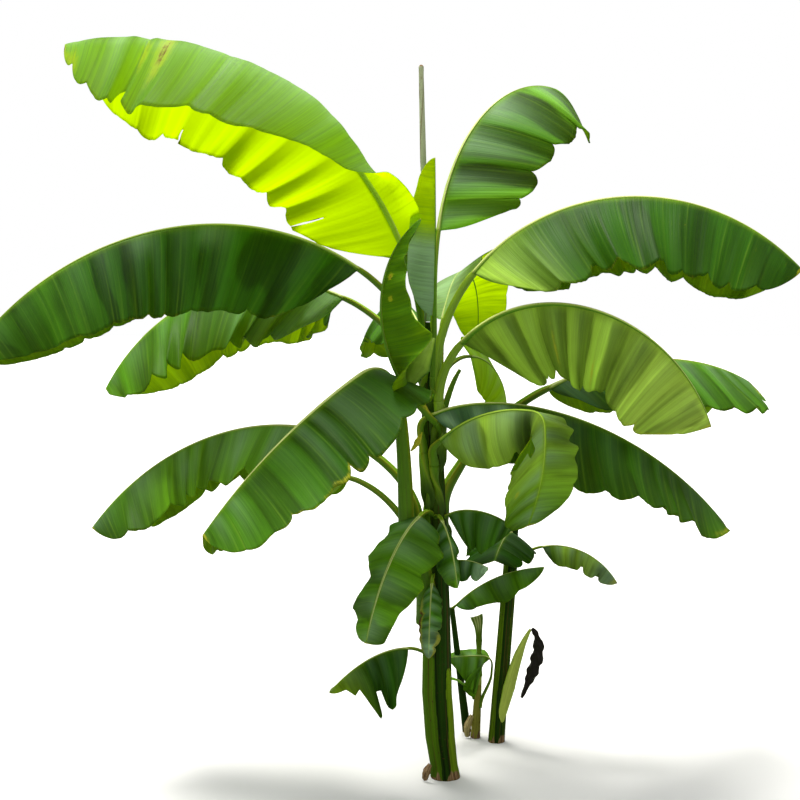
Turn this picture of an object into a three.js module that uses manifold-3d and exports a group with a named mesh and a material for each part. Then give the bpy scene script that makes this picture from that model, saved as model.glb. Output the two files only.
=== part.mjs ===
// A hardy banana plant: one clump with a tall main stem, a crown of long arching leaves,
// a second stem, a thin stem, a sucker and the small drooping leaves low on the stems.
// Millimetres, +Z up, +X to the right of the plant's front. The origin is on the ground,
// at the middle of the main stem's flat cut.

import * as THREE from 'three';
import { mergeVertices } from 'three/addons/utils/BufferGeometryUtils.js';
import Module from 'manifold-3d';

const wasm = await Module();
wasm.setup();

// Driving dimensions
const clearance = 0.4;            // gap kept between neighbouring pieces
const bladeMiddle = 6;            // blade thickness beside the midrib
const bladeRim = 3.4;             // blade thickness at the margin
const smallestHalf = 5;           // half width left at both ends of a blade
const stalkSides = 6;
const stalkTaper = 0.78;          // stalk radius at the blade, per radius at the foot
const stalkFlatness = 0.85;       // depth of a stalk per width
const stalkStep = 70;             // length of one facet of a stalk
const stalkSteps = [3, 6];        // fewest and most facets along a stalk
const baseReach = [0.05, 0.27];   // where a blade's base curl gives way to its full curl
const joint = 0.08;               // how far the stalk of a small leaf runs on in its blade, per blade
const bladeStart = 0.02;          // first station of a blade, in cosine spacing
const plainBaseRound = 0.16;      // length of the rounded base, per blade
const plainTipRound = 0.55;       // length of the narrowing tip, per blade
const tipShape = [2.6, 0.62];     // exponents of the tip's outline
const sweepLate = 1.5;            // exponent of the sideways sweep along a leaf
const veinLean = 0.15;            // how far the margin runs ahead of the midrib, per half width
const leanLate = 1.5;             // exponent of that lean from the midrib out
const midribSteps = 120;          // steps in which a midrib is summed up
const evenMargin = [[0, 1], [1, 1]];
const sheathPlaces = [0, 0.34, 0.67];
const sheathFlare = 1.5;          // radius at the foot of a long sheath, per radius of the stalk
const sheathReach = 1 / 3;        // reach of the bend's handles, per length of a long sheath
const straightSteps = 3;
const stripSteps = 2;             // facets between two points of a dried strip
const stemSides = 12;
const spikeSides = 8;

// Main stem: height, offset along X, radius. The foot swells a little above the cut.
const mainStem = [
  [0, 0, 50], [45, -5, 47], [140, -18, 51], [300, -28, 54], [580, -29, 49],
  [860, -36, 44], [1080, -42, 40], [1300, -54, 35], [1450, -60, 28], [1560, -65, 19],
];

// Spike: the next leaf, still rolled, standing on the main stem
const spike = { base: [-65, 0, 1562], top: [-86, 0, 2398], wide: 12.5, narrow: 9 };

// The other stems of the clump: foot, top, radius at both
const sideStems = [
  { name: 'second_stem', foot: [203, 300, 0], top: [258, 290, 800], wide: 30, narrow: 25, sides: 10 },
  { name: 'thin_stem', foot: [100, 390, 0], top: [37, 300, 505], wide: 17, narrow: 11, sides: 8 },
  { name: 'sucker_stem', foot: [128, 335, 0], top: [140, 330, 235], wide: 19, narrow: 13, sides: 8 },
];

// One entry for each leaf. foot: where its stalk leaves the stem. heading: compass turn in
// degrees, 0 to the right and 270 to the front. rise: slope at the foot, which bend takes
// away along the leaf, late in it where late is over 1. Pairs give the left and the right
// half, seen from the stem. lift: slope of a half where it leaves the midrib. droop: what it
// loses out to the margin, all of it by curl. baseDroop: how much of that the base has. kink:
// place, angle and length of a sharp fold. gravity: how far a half hangs straight down instead
// of square to the midrib. from: where a long sheath leaves the stem. notch: half, place, depth
// and length of a tear in the margin. left and right: share of a half's width along the leaf.
const leaves = [
  { name: 'left_high', foot: [-78, 8, 1540], heading: 200, rise: 82, bend: 91, late: 1.05, sweep: -18,
    stalk: 250, blade: 1345, width: [430, 345], lift: [75, -41], droop: [110, 9], tipLift: [10, -45],
    tipDroop: [75, 15], baseDroop: [0.25, 1], curl: [0.4, 1], tipRound: 0.4, thick: 17, grid: [10, 4],
    left: [[0, 0.25], [0.1, 0.3], [0.22, 0.42], [0.32, 0.72], [0.42, 1], [1, 1]] },
  { name: 'left_long', foot: [-72, -14, 1440], heading: 184, rise: 79, bend: 134, late: 0.72, sweep: 8,
    stalk: 375, blade: 1420, width: [320, 270], lift: [-54, -52], droop: [18, 30], tipRound: 0.45,
    thick: 18, grid: [9, 3], left: [[0, 1], [0.45, 1], [0.7, 0.85], [1, 0.66]] },
  { name: 'left_back', foot: [-70, 18, 1327], heading: 163, rise: 76, bend: 138, late: 0.82, sweep: 14,
    stalk: 440, blade: 1030, width: [300, 260], lift: [-36, -40], droop: [16, 40], tipRound: 0.4,
    thick: 17, grid: [8, 3] },
  { name: 'left_low', foot: [-92, 26, 905], from: [-52, 16, 690], heading: 165, rise: 84, bend: 138,
    late: 0.6, sweep: 25, stalk: 410, blade: 990, width: [245, 220], lift: [-28, -40], droop: [20, 40],
    tipRound: 0.35, thick: 21, grid: [8, 3] },
  { name: 'front_left', foot: [-136, -36, 914], from: [-62, -24, 610], heading: 231, rise: 88, bend: 41,
    late: 1.31, sweep: -22, stalk: 375, blade: 975, width: [310, 270], lift: [-17, -40], droop: [3, 30],
    kink: [0.38, 99, 0.2], gravity: 0.7, baseRound: 0.3, tipRound: 0.4, thick: 27, grid: [9, 3] },
  { name: 'left_small', foot: [-100, 4, 820], from: [-50, 0, 600], heading: 163, rise: 60, bend: 130,
    late: 1.41, sweep: 0, stalk: 330, blade: 345, width: [115, 110], lift: [-34, -30], droop: [26, 40],
    thick: 15, grid: [6, 2] },
  { name: 'front_upright', foot: [-38, -58, 1230], heading: 219, rise: 37, bend: -107, late: 1.31,
    sweep: -17, stalk: 175, blade: 605, width: [175, 120], lift: [4, 30], droop: [-11, -30],
    baseDroop: [-9, 1], tipRound: 0.95, thick: 13, grid: [8, 2],
    left: [[0, 1.1], [0.12, 1.3], [0.26, 1.3], [0.36, 1], [0.5, 0.88], [0.75, 0.62], [1, 0.5]] },
  { name: 'young_upright', foot: [-48, -62, 1380], heading: 300, rise: 87, bend: -4, late: 1, sweep: 0,
    stalk: 200, blade: 510, width: [34, 92], lift: [60, 42], droop: [-25, -10], baseRound: 0.3,
    tipRound: 0.7, thick: 9, grid: [6, 2] },
  { name: 'right_upright', foot: [-42, 22, 1449], heading: 20, rise: 91, bend: 100, late: 2.2,
    sweep: 18, stalk: 415, blade: 805, width: [250, 300], lift: [-20, -26], droop: [40, 38],
    tipRound: 0.14, thick: 15, grid: [9, 3] },
  { name: 'right_long', foot: [-34, -26, 1350], heading: 347, rise: 96, bend: 144, late: 0.86, sweep: 2,
    stalk: 400, blade: 1160, width: [290, 325], lift: [-40, -40], droop: [30, 15], tipRound: 0.28,
    thick: 21, grid: [9, 3], right: [[0, 1], [0.5, 1], [0.72, 0.9], [1, 0.85]] },
  { name: 'right_front', foot: [-27, -36, 1298], heading: 325, rise: 92, bend: 164, late: 0.75,
    sweep: 30, stalk: 220, blade: 1000, width: [290, 330], lift: [-40, -86], droop: [30, 18],
    tipRound: 0.22, thick: 19, grid: [9, 3],
    right: [[0, 0.8], [0.24, 0.8], [0.3, 0.7], [0.45, 0.82], [0.56, 0.72], [0.8, 0.74], [1, 0.7]] },
  { name: 'right_back', foot: [57, 40, 1086], from: [-14, 20, 930], heading: 13, rise: 57, bend: 80,
    late: 0.76, sweep: 21, stalk: 400, blade: 925, width: [240, 255], lift: [-40, -32], droop: [30, 10],
    baseRound: 0.35, tipRound: 0.25, thick: 21, grid: [8, 3] },
  { name: 'back_right', foot: [-18, 46, 1370], heading: 65, rise: 91, bend: 228, late: 1.6, sweep: 9,
    stalk: 200, blade: 690, width: [120, 135], lift: [-20, 38], droop: [20, 8], thick: 12,
    grid: [7, 2] },
  { name: 'right_drooping', foot: [-30, 26, 1320], heading: 46, rise: 80, bend: 168, late: 0.85,
    sweep: -8, stalk: 225, blade: 300, width: [135, 130], lift: [40, -60], droop: [0, 50], thick: 11,
    grid: [6, 2] },
  { name: 'right_folded', foot: [-40, -74, 1156], from: [-42, -34, 1085], heading: 333, rise: 47,
    bend: 99, late: 0.92, sweep: -41, stalk: 30, blade: 775, width: [145, 185], lift: [-36, -59],
    droop: [-2, 45], tipLift: [20, -57], kink: [0.53, 72, 0.11], gravity: 0.5,
    notch: [1, 0.45, 0.5, 0.05], baseRound: 0.25, tipRound: 0.35, thick: 14, grid: [12, 2] },
  { name: 'right_dark', foot: [-82, -60, 1235], from: [-78, -34, 1130], heading: 6, rise: 56, bend: 101,
    late: 0.35, sweep: 23, stalk: 40, blade: 1235, width: [230, 275], lift: [-64, -66], droop: [20, -8],
    tipLift: [-40, -38], baseRound: 0.45, tipRound: 0.25, thick: 14, grid: [9, 3],
    left: [[0, 1], [0.4, 0.95], [0.7, 0.6], [1, 0.5]], right: [[0, 1], [0.45, 1], [0.7, 0.82], [1, 0.7]] },
  { name: 'back_left', foot: [-60, 40, 1290], heading: 102, rise: 80, bend: 130, late: 0.8, sweep: 0,
    stalk: 330, blade: 900, width: [200, 200], lift: [-40, -40], droop: [30, 30], thick: 15,
    grid: [8, 3] },
  { name: 'low_front', foot: [-60, -44, 930], heading: 232, rise: 20, bend: 92, late: 0.35, sweep: 0,
    stalk: 50, blade: 470, width: [150, 160], lift: [-12, -12], droop: [20, 20], baseRound: 0.04,
    tipRound: 0.06, thick: 10, grid: [12, 2], joined: true,
    left: [[0, 0.65], [0.08, 0.75], [0.21, 1.05], [0.41, 0.74], [0.49, 0.92], [0.62, 0.74], [0.75, 0.56],
      [1, 0.36]],
    right: [[0, 0.75], [0.18, 0.66], [0.31, 0.95], [0.51, 0.52], [0.74, 0.85], [0.83, 0.54], [1, 0.38]] },
  { name: 'low_tattered', foot: [-60, -38, 436], heading: 212, rise: 56, bend: 96, late: 0.5, sweep: 0,
    stalk: 90, blade: 325, width: [175, 100], lift: [-60, -30], droop: [20, 20], thick: 9,
    grid: [10, 2], joined: true,
    left: [[0, 0.75], [0.12, 0.9], [0.3, 1.05], [0.4, 0.95], [0.44, 0.62], [0.5, 0.6], [0.58, 1.1],
      [0.64, 0.8], [0.7, 0.4], [0.78, 0.5], [0.84, 0.28], [1, 0.3]] },
  { name: 'low_narrow', foot: [-32, -42, 915], heading: 288, rise: 30, bend: 105, late: 0.4, sweep: 0,
    stalk: 50, blade: 250, width: [90, 80], lift: [-45, -50], droop: [20, 20], thick: 8, grid: [8, 2],
    joined: true,
    left: [[0, 0.9], [0.3, 1.1], [0.45, 0.9], [0.52, 0.5], [0.7, 0.8], [0.85, 0.7], [1, 0.4]] },
  { name: 'low_broad', foot: [-4, -14, 908], heading: 345, rise: 44, bend: 80, late: 0.6, sweep: 0,
    stalk: 12, blade: 240, width: [120, 150], lift: [-40, -55], droop: [30, 30], baseRound: 0.03,
    thick: 9, grid: [7, 2], joined: true,
    right: [[0, 1], [0.15, 1], [0.4, 0.85], [0.6, 0.95], [0.8, 0.8], [1, 0.7]] },
  { name: 'second_front', foot: [256, 285, 790], heading: 248, rise: 24, bend: 62, late: 0.6, sweep: 0,
    stalk: 15, blade: 220, width: [125, 165], lift: [-20, -18], droop: [20, 20], baseRound: 0.06,
    thick: 8, grid: [5, 2], joined: true },
  { name: 'low_ragged', foot: [-6, -28, 748], heading: 330, rise: 40, bend: 60, late: 0.6, sweep: 0,
    stalk: 40, blade: 130, width: [55, 75], lift: [-30, -50], droop: [30, 30], thick: 7, grid: [4, 2],
    joined: true },
  { name: 'low_striped', foot: [-44, -40, 714], heading: 262, rise: 10, bend: 95, late: 0.3, sweep: 0,
    stalk: 40, blade: 250, width: [62, 68], lift: [-40, -40], droop: [30, 30], thick: 7, grid: [5, 2],
    joined: true },
  { name: 'second_right', foot: [252, 288, 668], heading: 352, rise: 58, bend: 118, late: 0.8, sweep: 0,
    stalk: 138, blade: 320, width: [80, 78], lift: [-40, -50], droop: [30, 30], thick: 8, grid: [5, 2],
    joined: true },
  { name: 'thin_right', foot: [40, 290, 508], heading: 335, rise: 49, bend: 41, late: 1, sweep: 0,
    stalk: 15, blade: 388, width: [60, 100], lift: [-10, -60], droop: [10, 10], thick: 8, grid: [6, 2],
    joined: true, right: [[0, 0.55], [0.25, 0.7], [0.5, 1], [0.68, 0.82], [1, 0.7]] },
  { name: 'sucker_front', foot: [186, 314, 250], from: [146, 322, 120], heading: 182, rise: 95, bend: 20,
    late: 1, sweep: 0, stalk: 60, blade: 165, width: [150, 60], lift: [-75, 10], droop: [5, 10],
    kink: [0.27, 84, 0.3], baseRound: 0.06, tipRound: 0.9, thick: 6, grid: [6, 2], joined: true,
    left: [[0, 0.95], [0.1, 1.05], [0.18, 1], [1, 0.25]] },
  { name: 'sucker_side', foot: [120, 326, 150], heading: 215, rise: 75, bend: 80, late: 0.8, sweep: 0,
    stalk: 60, blade: 190, width: [24, 24], lift: [-10, -10], droop: [10, 10], thick: 5, grid: [4, 1],
    joined: true },
];

// Dried and withered pieces, each a tapering strip along a bent line
const strips = [
  { name: 'withered_stalk', path: [[212, 280, 70], [246, 262, 215], [278, 258, 335], [322, 254, 438]],
    half: [14, 22, 17, 5], thick: [8, 10, 8, 5], face: 270, colour: '#8fa03a' },
  { name: 'withered_leaf', path: [[326, 252, 442], [350, 248, 375], [332, 246, 290], [290, 244, 185]],
    half: [7, 20, 22, 6], thick: [4, 6, 6, 4], face: 250, colour: '#1d1712' },
  { name: 'dry_sheath_front', path: [[-72, -46, 5], [-66, -52, 34], [-52, -54, 62]],
    half: [10, 15, 7], thick: [4, 4, 3], face: 240, colour: '#b98f6e' },
  { name: 'dry_sheath_side', path: [[100, 326, 6], [98, 318, 47], [116, 322, 88]],
    half: [10, 14, 9], thick: [4, 4, 3], face: 270, colour: '#cfae88' },
  { name: 'dry_stub', path: [[-8, -14, 1262], [18, -12, 1345], [46, -10, 1402]],
    half: [12, 10, 6], thick: [9, 8, 5], face: 290, colour: '#7f8f3c' },
  { name: 'sucker_roll', path: [[142, 330, 236], [140, 330, 330], [138, 326, 410], [128, 318, 470]],
    half: [12, 10, 14, 26], thick: [12, 11, 10, 6], face: 270, colour: '#a9c26a' },
];

const colours = { stem: '#56702a', stalk: '#8aa33a', spike: '#8a9a63', crown: '#2f6f2b', low: '#2a5f2c' };

// Small helpers
const radians = (degrees) => degrees * Math.PI / 180;
const mix = (a, b, k) => a + (b - a) * k;
const clamp01 = (x) => Math.min(1, Math.max(0, x));
const smoothStep = (x) => clamp01(x) ** 2 * (3 - 2 * clamp01(x));
const vector = (p) => new THREE.Vector3(...p);
const across = vector([1, 0, 0]);
const away = vector([0, 1, 0]);
const upright = vector([0, 0, 1]);

function material(colour, roughness = 0.55) {
  return new THREE.MeshStandardMaterial({ color: colour, roughness, metalness: 0 });
}

// Direction of the midrib at s, from 0 at the foot to 1 at the tip
function direction(leaf, s) {
  const [place, angle, length] = leaf.kink ?? [0.5, 0, 1];
  const folded = smoothStep((s - place) / length + 0.5);
  const slope = radians(leaf.rise - leaf.bend * s ** leaf.late - angle * folded);
  const turn = radians(leaf.heading + leaf.sweep * s ** sweepLate);
  return {
    along: vector([Math.cos(slope) * Math.cos(turn), Math.cos(slope) * Math.sin(turn), Math.sin(slope)]),
    right: vector([Math.sin(turn), -Math.cos(turn), 0]),
  };
}

// The midrib from the foot to the tip, summed up in short steps
function midrib(leaf) {
  const step = (leaf.stalk + leaf.blade) / midribSteps;
  const points = [vector(leaf.foot)];
  for (let i = 0; i < midribSteps; i += 1) {
    const { along } = direction(leaf, (i + 0.5) / midribSteps);
    points.push(points[i].clone().addScaledVector(along, step));
  }
  return (s) => {
    const x = clamp01(s) * midribSteps;
    const i = Math.min(midribSteps - 1, Math.floor(x));
    const { along, right } = direction(leaf, s);
    const up = new THREE.Vector3().crossVectors(right, along);
    return { point: points[i].clone().lerp(points[i + 1], x - i), along, right, up };
  };
}

// Half width of the blade at t, as a part of the full half width
function outline(leaf, t) {
  const baseRound = leaf.baseRound ?? plainBaseRound;
  const tipRound = leaf.tipRound ?? plainTipRound;
  const base = Math.sqrt(1 - (1 - clamp01(t / baseRound)) ** 2);
  const x = clamp01((t - 1 + tipRound) / tipRound);
  return base * (1 - x ** tipShape[0]) ** tipShape[1];
}

// Value at t of a line through a list of [place, value] pairs
function valueAt(pairs, t) {
  const next = Math.max(1, pairs.findIndex(([place]) => place >= t));
  const [[startPlace, startValue], [endPlace, endValue]] = [pairs[next - 1], pairs[next]];
  return mix(startValue, endValue, clamp01((t - startPlace) / (endPlace - startPlace)));
}

// Points out along a vein at t: the midrib first, the margin last
function vein(leaf, place, t, side, quads) {
  const half = side < 0 ? 0 : 1;
  const [torn, tornAt, tornDepth, tornLength] = leaf.notch ?? [0, 0, 0, 1];
  const tear = torn === side ? 1 - tornDepth * Math.exp(-(((t - tornAt) / tornLength) ** 2)) : 1;
  const margin = (half === 0 ? leaf.left : leaf.right) ?? evenMargin;
  const width = Math.max(smallestHalf, leaf.width[half] * outline(leaf, t) * tear * valueAt(margin, t));
  const hang = place.up.clone().lerp(upright, leaf.gravity ?? 0).normalize();
  const lift = mix(leaf.lift[half], (leaf.tipLift ?? leaf.lift)[half], t);
  const full = smoothStep((t - baseReach[0]) / (baseReach[1] - baseReach[0]));
  const droop = mix(leaf.droop[half], (leaf.tipDroop ?? leaf.droop)[half], t)
    * mix((leaf.baseDroop ?? [1, 1])[half], 1, full);
  const curl = (leaf.curl ?? [1, 1])[half];
  const points = [place.point.clone()];
  for (let i = 0; i < quads; i += 1) {
    const u = (i + 0.5) / quads;
    const angle = radians(lift - droop * Math.min(1, u / curl));
    points.push(points[i].clone()
      .addScaledVector(place.right, side * Math.cos(angle) * width / quads)
      .addScaledVector(hang, Math.sin(angle) * width / quads));
  }
  return points.map((p, i) => (
    p.addScaledVector(place.along, width * veinLean * (i / quads) ** leanLate)));
}

// Closed solid between two grids of points, rows by columns, whose rims are joined
function slab(over, under) {
  const rows = over.length;
  const columns = over[0].length;
  const at = (row, column, layer) => (row * columns + column) * 2 + layer;
  const positions = [];
  for (let r = 0; r < rows; r += 1) {
    for (let c = 0; c < columns; c += 1) {
      positions.push(...over[r][c].toArray(), ...under[r][c].toArray());
    }
  }
  const index = [];
  const quad = (a, b, c, d) => index.push(a, b, c, a, c, d);
  for (let r = 0; r < rows - 1; r += 1) {
    for (let c = 0; c < columns - 1; c += 1) {
      quad(at(r, c, 0), at(r, c + 1, 0), at(r + 1, c + 1, 0), at(r + 1, c, 0));
      quad(at(r, c, 1), at(r + 1, c, 1), at(r + 1, c + 1, 1), at(r, c + 1, 1));
    }
    quad(at(r, 0, 0), at(r + 1, 0, 0), at(r + 1, 0, 1), at(r, 0, 1));
    quad(at(r, columns - 1, 0), at(r, columns - 1, 1), at(r + 1, columns - 1, 1), at(r + 1, columns - 1, 0));
  }
  for (let c = 0; c < columns - 1; c += 1) {
    quad(at(0, c, 0), at(0, c, 1), at(0, c + 1, 1), at(0, c + 1, 0));
    quad(at(rows - 1, c, 0), at(rows - 1, c + 1, 0), at(rows - 1, c + 1, 1), at(rows - 1, c, 1));
  }
  return solidOf(positions, index);
}

// Closed tube through a list of rings, each a list of points, with flat ends
function tube(rings) {
  const sides = rings[0].length;
  const positions = rings.flat().flatMap((p) => p.toArray());
  const index = [];
  for (let r = 0; r < rings.length - 1; r += 1) {
    for (let c = 0; c < sides; c += 1) {
      const a = r * sides + c;
      const b = r * sides + (c + 1) % sides;
      index.push(a, b, b + sides, a, b + sides, a + sides);
    }
  }
  const last = (rings.length - 1) * sides;
  for (let c = 1; c < sides - 1; c += 1) {
    index.push(0, c + 1, c);
    index.push(last, last + c, last + c + 1);
  }
  return solidOf(positions, index);
}

// Ring of points round a centre, spread along two directions
function ring(centre, first, second, sides, a, b = a) {
  return Array.from({ length: sides }, (_, i) => {
    const turn = 2 * Math.PI * (i + 0.5) / sides;
    return centre.clone()
      .addScaledVector(first, a * Math.cos(turn))
      .addScaledVector(second, b * Math.sin(turn));
  });
}

function solidOf(positions, index) {
  const solid = new wasm.Manifold(new wasm.Mesh({
    numProp: 3,
    vertProperties: new Float32Array(positions),
    triVerts: new Uint32Array(index),
  }));
  if (solid.volume() > 0) return solid;
  const turned = [];
  for (let i = 0; i < index.length; i += 3) turned.push(index[i], index[i + 2], index[i + 1]);
  return new wasm.Manifold(new wasm.Mesh({
    numProp: 3,
    vertProperties: new Float32Array(positions),
    triVerts: new Uint32Array(turned),
  }));
}

// Pieces of the plant. grow is added all round, for the room that a neighbour leaves.

function bladeSolid(leaf, grow) {
  const [stations, quads] = leaf.grid;
  const at = midrib(leaf);
  const share = leaf.stalk / (leaf.stalk + leaf.blade);
  const over = [];
  const under = [];
  for (let r = 0; r <= stations; r += 1) {
    const t = 0.5 - 0.5 * Math.cos(Math.PI * mix(bladeStart, 1, r / stations));
    const place = at(mix(share, 1, t));
    const left = vein(leaf, place, t, -1, quads).reverse();
    const right = vein(leaf, place, t, 1, quads).slice(1);
    const line = [...left, ...right];
    const rows = line.map((p, i) => {
      const before = line[Math.max(0, i - 1)];
      const after = line[Math.min(line.length - 1, i + 1)];
      const normal = after.clone().sub(before).cross(place.along).normalize();
      const out = Math.abs(i - quads) / quads;
      return { p, push: normal.multiplyScalar(mix(bladeMiddle, bladeRim, out) / 2 + grow) };
    });
    over.push(rows.map(({ p, push }) => p.clone().add(push)));
    under.push(rows.map(({ p, push }) => p.clone().sub(push)));
  }
  return slab(over, under);
}

function stalkSolid(leaf, grow) {
  const steps = Math.max(stalkSteps[0], Math.min(stalkSteps[1], Math.round(leaf.stalk / stalkStep)));
  const at = midrib(leaf);
  const share = mix(leaf.stalk / (leaf.stalk + leaf.blade), 1, leaf.joined ? joint : 0);
  const rings = leaf.from ? sheathRings(leaf, grow) : [];
  for (let i = 0; i <= steps; i += 1) {
    const k = i / steps;
    const { point, right, up } = at(share * k);
    const radius = mix(leaf.thick, leaf.thick * stalkTaper, k) + grow;
    rings.push(ring(point, right, up, stalkSides, radius, radius * stalkFlatness));
  }
  return tube(rings);
}

// Rings of a long sheath, which leaves the stem upwards and turns into the stalk
function sheathRings(leaf, grow) {
  const { along, right } = direction(leaf, 0);
  const from = vector(leaf.from);
  const foot = vector(leaf.foot);
  const reach = from.distanceTo(foot) * sheathReach;
  const curve = new THREE.CubicBezierCurve3(
    from, from.clone().addScaledVector(upright, reach), foot.clone().addScaledVector(along, -reach), foot);
  return sheathPlaces.map((k) => {
    const radius = leaf.thick * mix(sheathFlare, 1, k) + grow;
    const up = new THREE.Vector3().crossVectors(right, curve.getTangent(k)).normalize();
    return ring(curve.getPoint(k), right, up, stalkSides, radius, radius * stalkFlatness);
  });
}

function mainStemSolid(grow) {
  return tube(mainStem.map(([z, x, radius]) => (
    ring(new THREE.Vector3(x, 0, z), across, away, stemSides, radius + grow))));
}

function straightSolid(from, to, wide, narrow, sides, grow) {
  const rings = [];
  for (let i = 0; i <= straightSteps; i += 1) {
    const k = i / straightSteps;
    const centre = vector(from).lerp(vector(to), k);
    rings.push(ring(centre, across, away, sides, mix(wide, narrow, k) + grow));
  }
  return tube(rings);
}

function stripSolid(strip, grow) {
  const curve = new THREE.CatmullRomCurve3(strip.path.map(vector));
  const turn = radians(strip.face);
  const facing = new THREE.Vector3(Math.cos(turn), Math.sin(turn), 0);
  const steps = (strip.path.length - 1) * stripSteps;
  const rings = [];
  for (let i = 0; i <= steps; i += 1) {
    const k = i / steps;
    const x = k * (strip.path.length - 1);
    const j = Math.min(strip.path.length - 2, Math.floor(x));
    const half = mix(strip.half[j], strip.half[j + 1], x - j) + grow;
    const thick = mix(strip.thick[j], strip.thick[j + 1], x - j) / 2 + grow;
    const along = curve.getTangent(k);
    const wide = new THREE.Vector3().crossVectors(along, facing).normalize();
    const out = new THREE.Vector3().crossVectors(wide, along).normalize();
    rings.push(ring(curve.getPoint(k), wide, out, stalkSides, half, thick));
  }
  return tube(rings);
}

// Every piece in turn is cut clear of those made before it, and its largest body is kept
const plant = new THREE.Group();
const placed = [];

function largestBody(solid) {
  const bodies = solid.decompose();
  return bodies.reduce((best, body) => (body.volume() > best.volume() ? body : best));
}

function touches(a, b) {
  return [0, 1, 2].every((i) => a.min[i] <= b.max[i] && b.min[i] <= a.max[i]);
}

function add(name, make, finish) {
  const whole = make(0);
  let solid = whole;
  for (const other of placed) {
    if (touches(solid.boundingBox(), other.box)) solid = solid.subtract(other.room);
  }
  solid = largestBody(solid);
  const room = make(clearance).add(whole);
  placed.push({ room, box: room.boundingBox() });
  const cut = solid.getMesh();
  const geometry = new THREE.BufferGeometry();
  geometry.setAttribute('position', new THREE.BufferAttribute(cut.vertProperties, 3));
  geometry.setIndex(new THREE.BufferAttribute(cut.triVerts, 1));
  const merged = mergeVertices(geometry);
  merged.computeVertexNormals();
  const mesh = new THREE.Mesh(merged, finish);
  mesh.name = name;
  plant.add(mesh);
}

// Stems
const stemFinish = material(colours.stem, 0.5);
add('main_stem', mainStemSolid, stemFinish);
for (const stem of sideStems) {
  const { name, foot, top, wide, narrow, sides } = stem;
  add(name, (grow) => straightSolid(foot, top, wide, narrow, sides, grow), stemFinish);
}
add('rolled_leaf', (grow) => {
  const { base, top, wide, narrow } = spike;
  return straightSolid(base, top, wide, narrow, spikeSides, grow);
}, material(colours.spike));

// Stalks and blades of the crown
const stalkFinish = material(colours.stalk, 0.45);
const crown = leaves.filter((leaf) => !leaf.joined);
for (const leaf of crown) {
  add(`stalk_${leaf.name}`, (grow) => stalkSolid(leaf, grow), stalkFinish);
}
const crownFinish = material(colours.crown);
for (const leaf of crown) {
  add(`leaf_${leaf.name}`, (grow) => bladeSolid(leaf, grow), crownFinish);
}

// Small low leaves, each one piece with its stalk
const lowFinish = material(colours.low);
for (const leaf of leaves.filter((entry) => entry.joined)) {
  add(`leaf_${leaf.name}`, (grow) => stalkSolid(leaf, grow).add(bladeSolid(leaf, grow)), lowFinish);
}

// Dried and withered pieces
for (const strip of strips) {
  add(strip.name, (grow) => stripSolid(strip, grow), material(strip.colour, 0.8));
}

export default plant;
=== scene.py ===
import math

import bpy
import numpy as np
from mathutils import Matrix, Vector


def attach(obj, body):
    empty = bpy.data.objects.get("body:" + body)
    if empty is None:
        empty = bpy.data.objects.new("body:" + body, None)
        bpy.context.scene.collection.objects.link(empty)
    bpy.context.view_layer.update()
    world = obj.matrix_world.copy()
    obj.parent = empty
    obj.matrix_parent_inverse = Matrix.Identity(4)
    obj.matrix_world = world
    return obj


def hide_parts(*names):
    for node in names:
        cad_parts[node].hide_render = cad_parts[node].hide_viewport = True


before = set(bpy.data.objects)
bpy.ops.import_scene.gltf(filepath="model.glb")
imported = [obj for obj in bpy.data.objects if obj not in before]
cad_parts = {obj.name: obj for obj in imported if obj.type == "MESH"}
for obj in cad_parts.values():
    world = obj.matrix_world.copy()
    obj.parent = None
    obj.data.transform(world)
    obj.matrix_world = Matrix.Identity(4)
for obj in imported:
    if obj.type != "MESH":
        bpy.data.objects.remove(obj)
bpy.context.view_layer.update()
print("frame loaded:", len(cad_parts), "nodes")

mm = 0.001  # sizes below are in millimetres unless they say otherwise

# Camera: the photograph was taken standing, a little left of the plant
cameraSetup = {"eye": (-0.155, -3.6, 1.6), "pitch": 4.77, "focal": 48.5}

cameraData = bpy.data.cameras.new("camera")
cameraData.sensor_width = 36.0
cameraData.lens = cameraSetup["focal"]
camera = bpy.data.objects.new("camera", cameraData)
camera.location = cameraSetup["eye"]
camera.rotation_euler = (math.radians(90 - cameraSetup["pitch"]), 0, 0)
bpy.context.collection.objects.link(camera)
bpy.context.scene.camera = camera


# Shader building

class Value:
    # one output of a shader tree; arithmetic on it adds Math nodes
    def __init__(self, finish, out):
        self.finish = finish
        self.out = out

    def math(self, operation, first, second=None):
        values = {0: first}
        if second is not None:
            values[1] = second
        return self.finish.node("ShaderNodeMath", {"operation": operation}, values)

    def __add__(self, other):
        return self.math("ADD", self, other)

    def __radd__(self, other):
        return self.math("ADD", other, self)

    def __sub__(self, other):
        return self.math("SUBTRACT", self, other)

    def __rsub__(self, other):
        return self.math("SUBTRACT", other, self)

    def __mul__(self, other):
        return self.math("MULTIPLY", self, other)

    def __rmul__(self, other):
        return self.math("MULTIPLY", other, self)

    def __truediv__(self, other):
        return self.math("DIVIDE", self, other)

    def clamped(self):
        return self.math("MINIMUM", self.math("MAXIMUM", self, 0.0), 1.0)

    def step(self, low, high):
        # 0 below low, 1 above high, smooth between
        k = ((self - low) / (high - low)).clamped()
        return k * k * (3 - 2 * k)


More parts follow.
